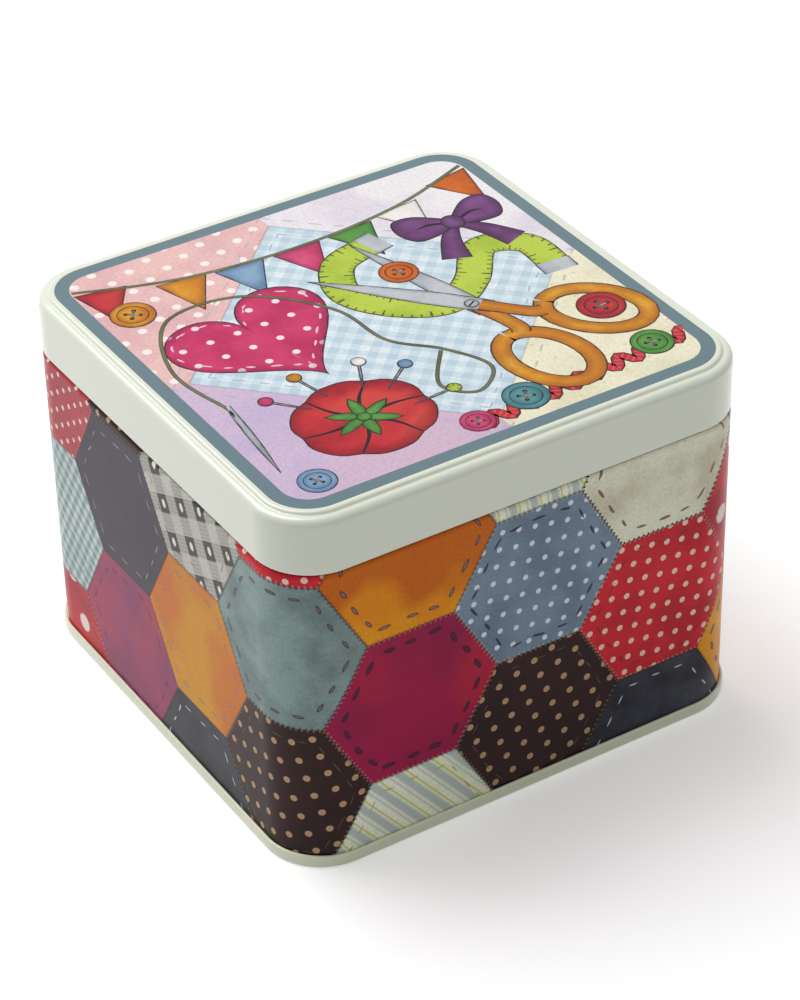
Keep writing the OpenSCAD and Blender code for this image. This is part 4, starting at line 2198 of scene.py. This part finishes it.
@dataclass(frozen=True)
class Buttons:
    """Buttons with four holes and a cross of thread."""

    name: str = "print_buttons"
    level: int = 10
    radius: float = 7.0
    dish: float = 4.9
    hole: float = 0.75
    hole_out: float = 1.5
    stitch_half: float = 0.36
    spots: tuple[tuple[Point, float, float, str], ...] = (
        ((9.5, -46.5), 20.0, 0.8, "teal"),
        ((45.5, -24.5), 50.0, 0.85, "red"),
        ((-47.0, 33.0), 10.0, 0.8, "mustard"),
        ((46.0, -44.0), 35.0, 0.75, "leaf"),
        ((14.5, 14.5), 60.0, 0.7, "orange"),
        ((-5.0, -49.0), 15.0, 0.6, "rose"),
        ((-46.5, -49.0), 80.0, 0.65, "denim"),
    )

    def paint(self, film: Film) -> None:
        """Paints one button and copies it.

        Args:
            film: The layers to paint on.
        """
        film.patch(oval(self.radius, self.radius), "mustard", self.level)
        film.patch(oval(self.dish, self.dish), "mustard", self.level + 1)
        for x in (-self.hole_out, self.hole_out):
            for y in (-self.hole_out, self.hole_out):
                film.patch(oval(self.hole, self.hole, (x, y), 12), "dark", self.level + 2)
        for up, out in ((3, self.hole_out), (4, -self.hole_out)):
            stitch = between((-self.hole_out, out), (self.hole_out, -out), 2)
            film.stroke(stitch, (self.stitch_half,) * 2, "white", self.level + up)
        film.repeat(
            Twin(place, (colour, "dark", "white"), turn, scale) for place, turn, scale, colour in self.spots
        )


class Motif(Protocol):
    """A thing that is painted on the lid."""

    name: str

    def paint(self, film: Film) -> None:
        """Paints it on the layers of a film."""


@dataclass
class Picture:
    """The lid's picture: sewing things painted over the quilt, each a film of ink of its own."""

    tin: TinSizes
    film: float = 0.1
    motifs: tuple[Motif, ...] = (
        Bunting(),
        Heart(),
        Scissors(),
        Pincushion(),
        Pins(),
        TapeMeasure(),
        RibbonBow(),
        RickRack(),
        Needle(),
        Buttons(),
    )

    def build(self, finishes: Finishes) -> list[tuple[Piece, str]]:
        """Paints the picture.

        Args:
            finishes: The materials, by name.

        Returns:
            Its motifs, each with its material slot.
        """
        pieces = []
        for motif in self.motifs:
            film = Film(motif.name, self.tin.height - self.film, finishes)
            motif.paint(film)
            pieces.append((film.join(), "lid_print"))
        return pieces


@dataclass(frozen=True)
class Lamp:
    """A soft box: where it stands, how large it is and how bright."""

    name: str
    place: tuple[float, float, float]
    size: Point
    watts: float


@dataclass(frozen=True)
class Studio:
    """The floor, the lamps and the camera."""

    target: tuple[float, float, float] = (0.0, 0.0, 0.0457)
    azimuth: float = -31.305
    elevation: float = 34.971
    roll: float = -1.508
    distance: float = 0.793
    floor_size: float = 8.0
    paper: str = "#f2f2f2"
    glow: str = "#fafafa"
    glow_strength: float = 0.34
    lens: float = 118.6
    sensor: float = 36.0
    shift: Point = (0.0159, -0.0019)
    room: float = 0.345
    lamps: tuple[Lamp, ...] = (
        Lamp("key_softbox", (-0.3, 0.7, 1.3), (1.1, 1.1), 19.0),
        Lamp("fill_softbox", (0.9, -0.9, 0.9), (0.8, 0.8), 1.0),
    )

    def build_floor(self) -> None:
        """Lays a floor of pale paper that looks white to the camera and keeps the tin's shadow."""
        deselect()
        bpy.ops.mesh.primitive_plane_add(size=self.floor_size, location=(0.0, 0.0, 0.0))
        floor = name_active("floor")
        material = bpy.data.materials.new("pale_paper_floor")
        graph = Graph(material)
        paper = graph.add("ShaderNodeBsdfDiffuse", {"Color": linear(self.paper)})
        glow = graph.add("ShaderNodeEmission", {"Color": linear(self.glow), "Strength": self.glow_strength})
        both = graph.add("ShaderNodeAddShader", {0: paper, 1: glow})
        graph.add(OUTPUT, {"Surface": graph.add("ShaderNodeMixShader", {0: graph.seen(), 1: paper, 2: both})})
        floor.data.materials.append(material)
        floor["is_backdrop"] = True

    def build_lights(self) -> None:
        """Gives the room an even light, white where it is seen, and turns the soft boxes to the tin."""
        world = bpy.data.worlds.new("white_room")
        bpy.context.scene.world = world
        graph = Graph(world)
        strength = graph.add(RAMP, {"Value": graph.seen(), 3: self.room, 4: 1.0})
        room = graph.add("ShaderNodeBackground", {"Color": linear("#ffffff"), "Strength": strength})
        graph.add("ShaderNodeOutputWorld", {"Surface": room})
        for lamp in self.lamps:
            light = bpy.data.lights.new(lamp.name, "AREA")
            light.shape = "RECTANGLE"
            light.size, light.size_y = lamp.size
            light.energy = lamp.watts
            stand = bpy.data.objects.new(lamp.name, light)
            bpy.context.scene.collection.objects.link(stand)
            stand.location = lamp.place
            towards = Vector(self.target) - Vector(lamp.place)
            stand.rotation_euler = towards.to_track_quat("-Z", "Y").to_euler()

    def build_camera(self) -> None:
        """Places the camera where the photograph was taken from."""
        round_z, tilt, roll = (math.radians(x) for x in (self.azimuth, 90.0 - self.elevation, self.roll))
        turn = Matrix.Rotation(round_z, 3, "Z") @ Matrix.Rotation(tilt, 3, "X")
        back = turn @ Vector((0.0, 0.0, 1.0))
        camera = bpy.data.objects.new("camera", bpy.data.cameras.new("camera"))
        bpy.context.scene.collection.objects.link(camera)
        place = Vector(self.target) + back * self.distance
        camera.matrix_world = Matrix.LocRotScale(place, turn @ Matrix.Rotation(roll, 3, "Z"), None)
        camera.data.lens = self.lens
        camera.data.sensor_width = self.sensor
        camera.data.shift_x, camera.data.shift_y = self.shift
        bpy.context.scene.camera = camera

    def build(self) -> None:
        """Builds the whole studio."""
        self.build_floor()
        self.build_lights()
        self.build_camera()
        bpy.context.scene.view_settings.view_transform = "Standard"


def make_finishes() -> Finishes:
    """Builds the materials of the tin, by name.

    Returns:
        The materials, by name.
    """
    enamels = (
        # Cream enamel of the lid, with a broad, slightly wavering gloss
        Lacquer("cream_enamel", "#dfe3d2", "#dbe0cf"),
        # The same enamel on the base, a shade yellower
        Lacquer("rim_enamel", "#dfe3c9", "#d8dcc0"),
        # Flat border ink under a thin varnish, which mirrors less than the enamel
        Lacquer("blue_grey_ink", "#55727c", "#4f6b76", gloss=0.25),
    )
    # Bright metal with soft reflections, drawn out along its fine upright lines
    bare = Tinplate("bare_tinplate")
    return {finish.name: finish.make() for finish in (*COTTONS, *GROUNDS, *PAINTS, *enamels, bare)}


def as_list(bounds: Sequence[Vector]) -> list[list[float]]:
    """Turns a box to plain lists of numbers."""
    return [[float(x) for x in corner] for corner in bounds]


def main() -> dict[str, list[list[float]]]:
    """Builds the tin and the studio.
    """
    logging.basicConfig(level=logging.INFO)
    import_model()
    packed = as_list(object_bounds())
    low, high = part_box("lid")
    tin = TinSizes((high.x - low.x) / MM, (high.y - low.y) / MM, high.z / MM)
    finishes = make_finishes()
    for body, maker in (("tin", Wall(tin)), ("tin", Base(tin)), ("lid", Lid(tin)), ("lid", Picture(tin))):
        for piece, slot in maker.build(finishes):
            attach(piece, body)
            LOG.info("%s rides on %s with %d faces", piece.name, body, len(piece.data.polygons))
    Studio().build()
    return {"cad": packed}


if __name__ == "__main__":
    sizes = main()
    sizes["visual"] = as_list(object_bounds())
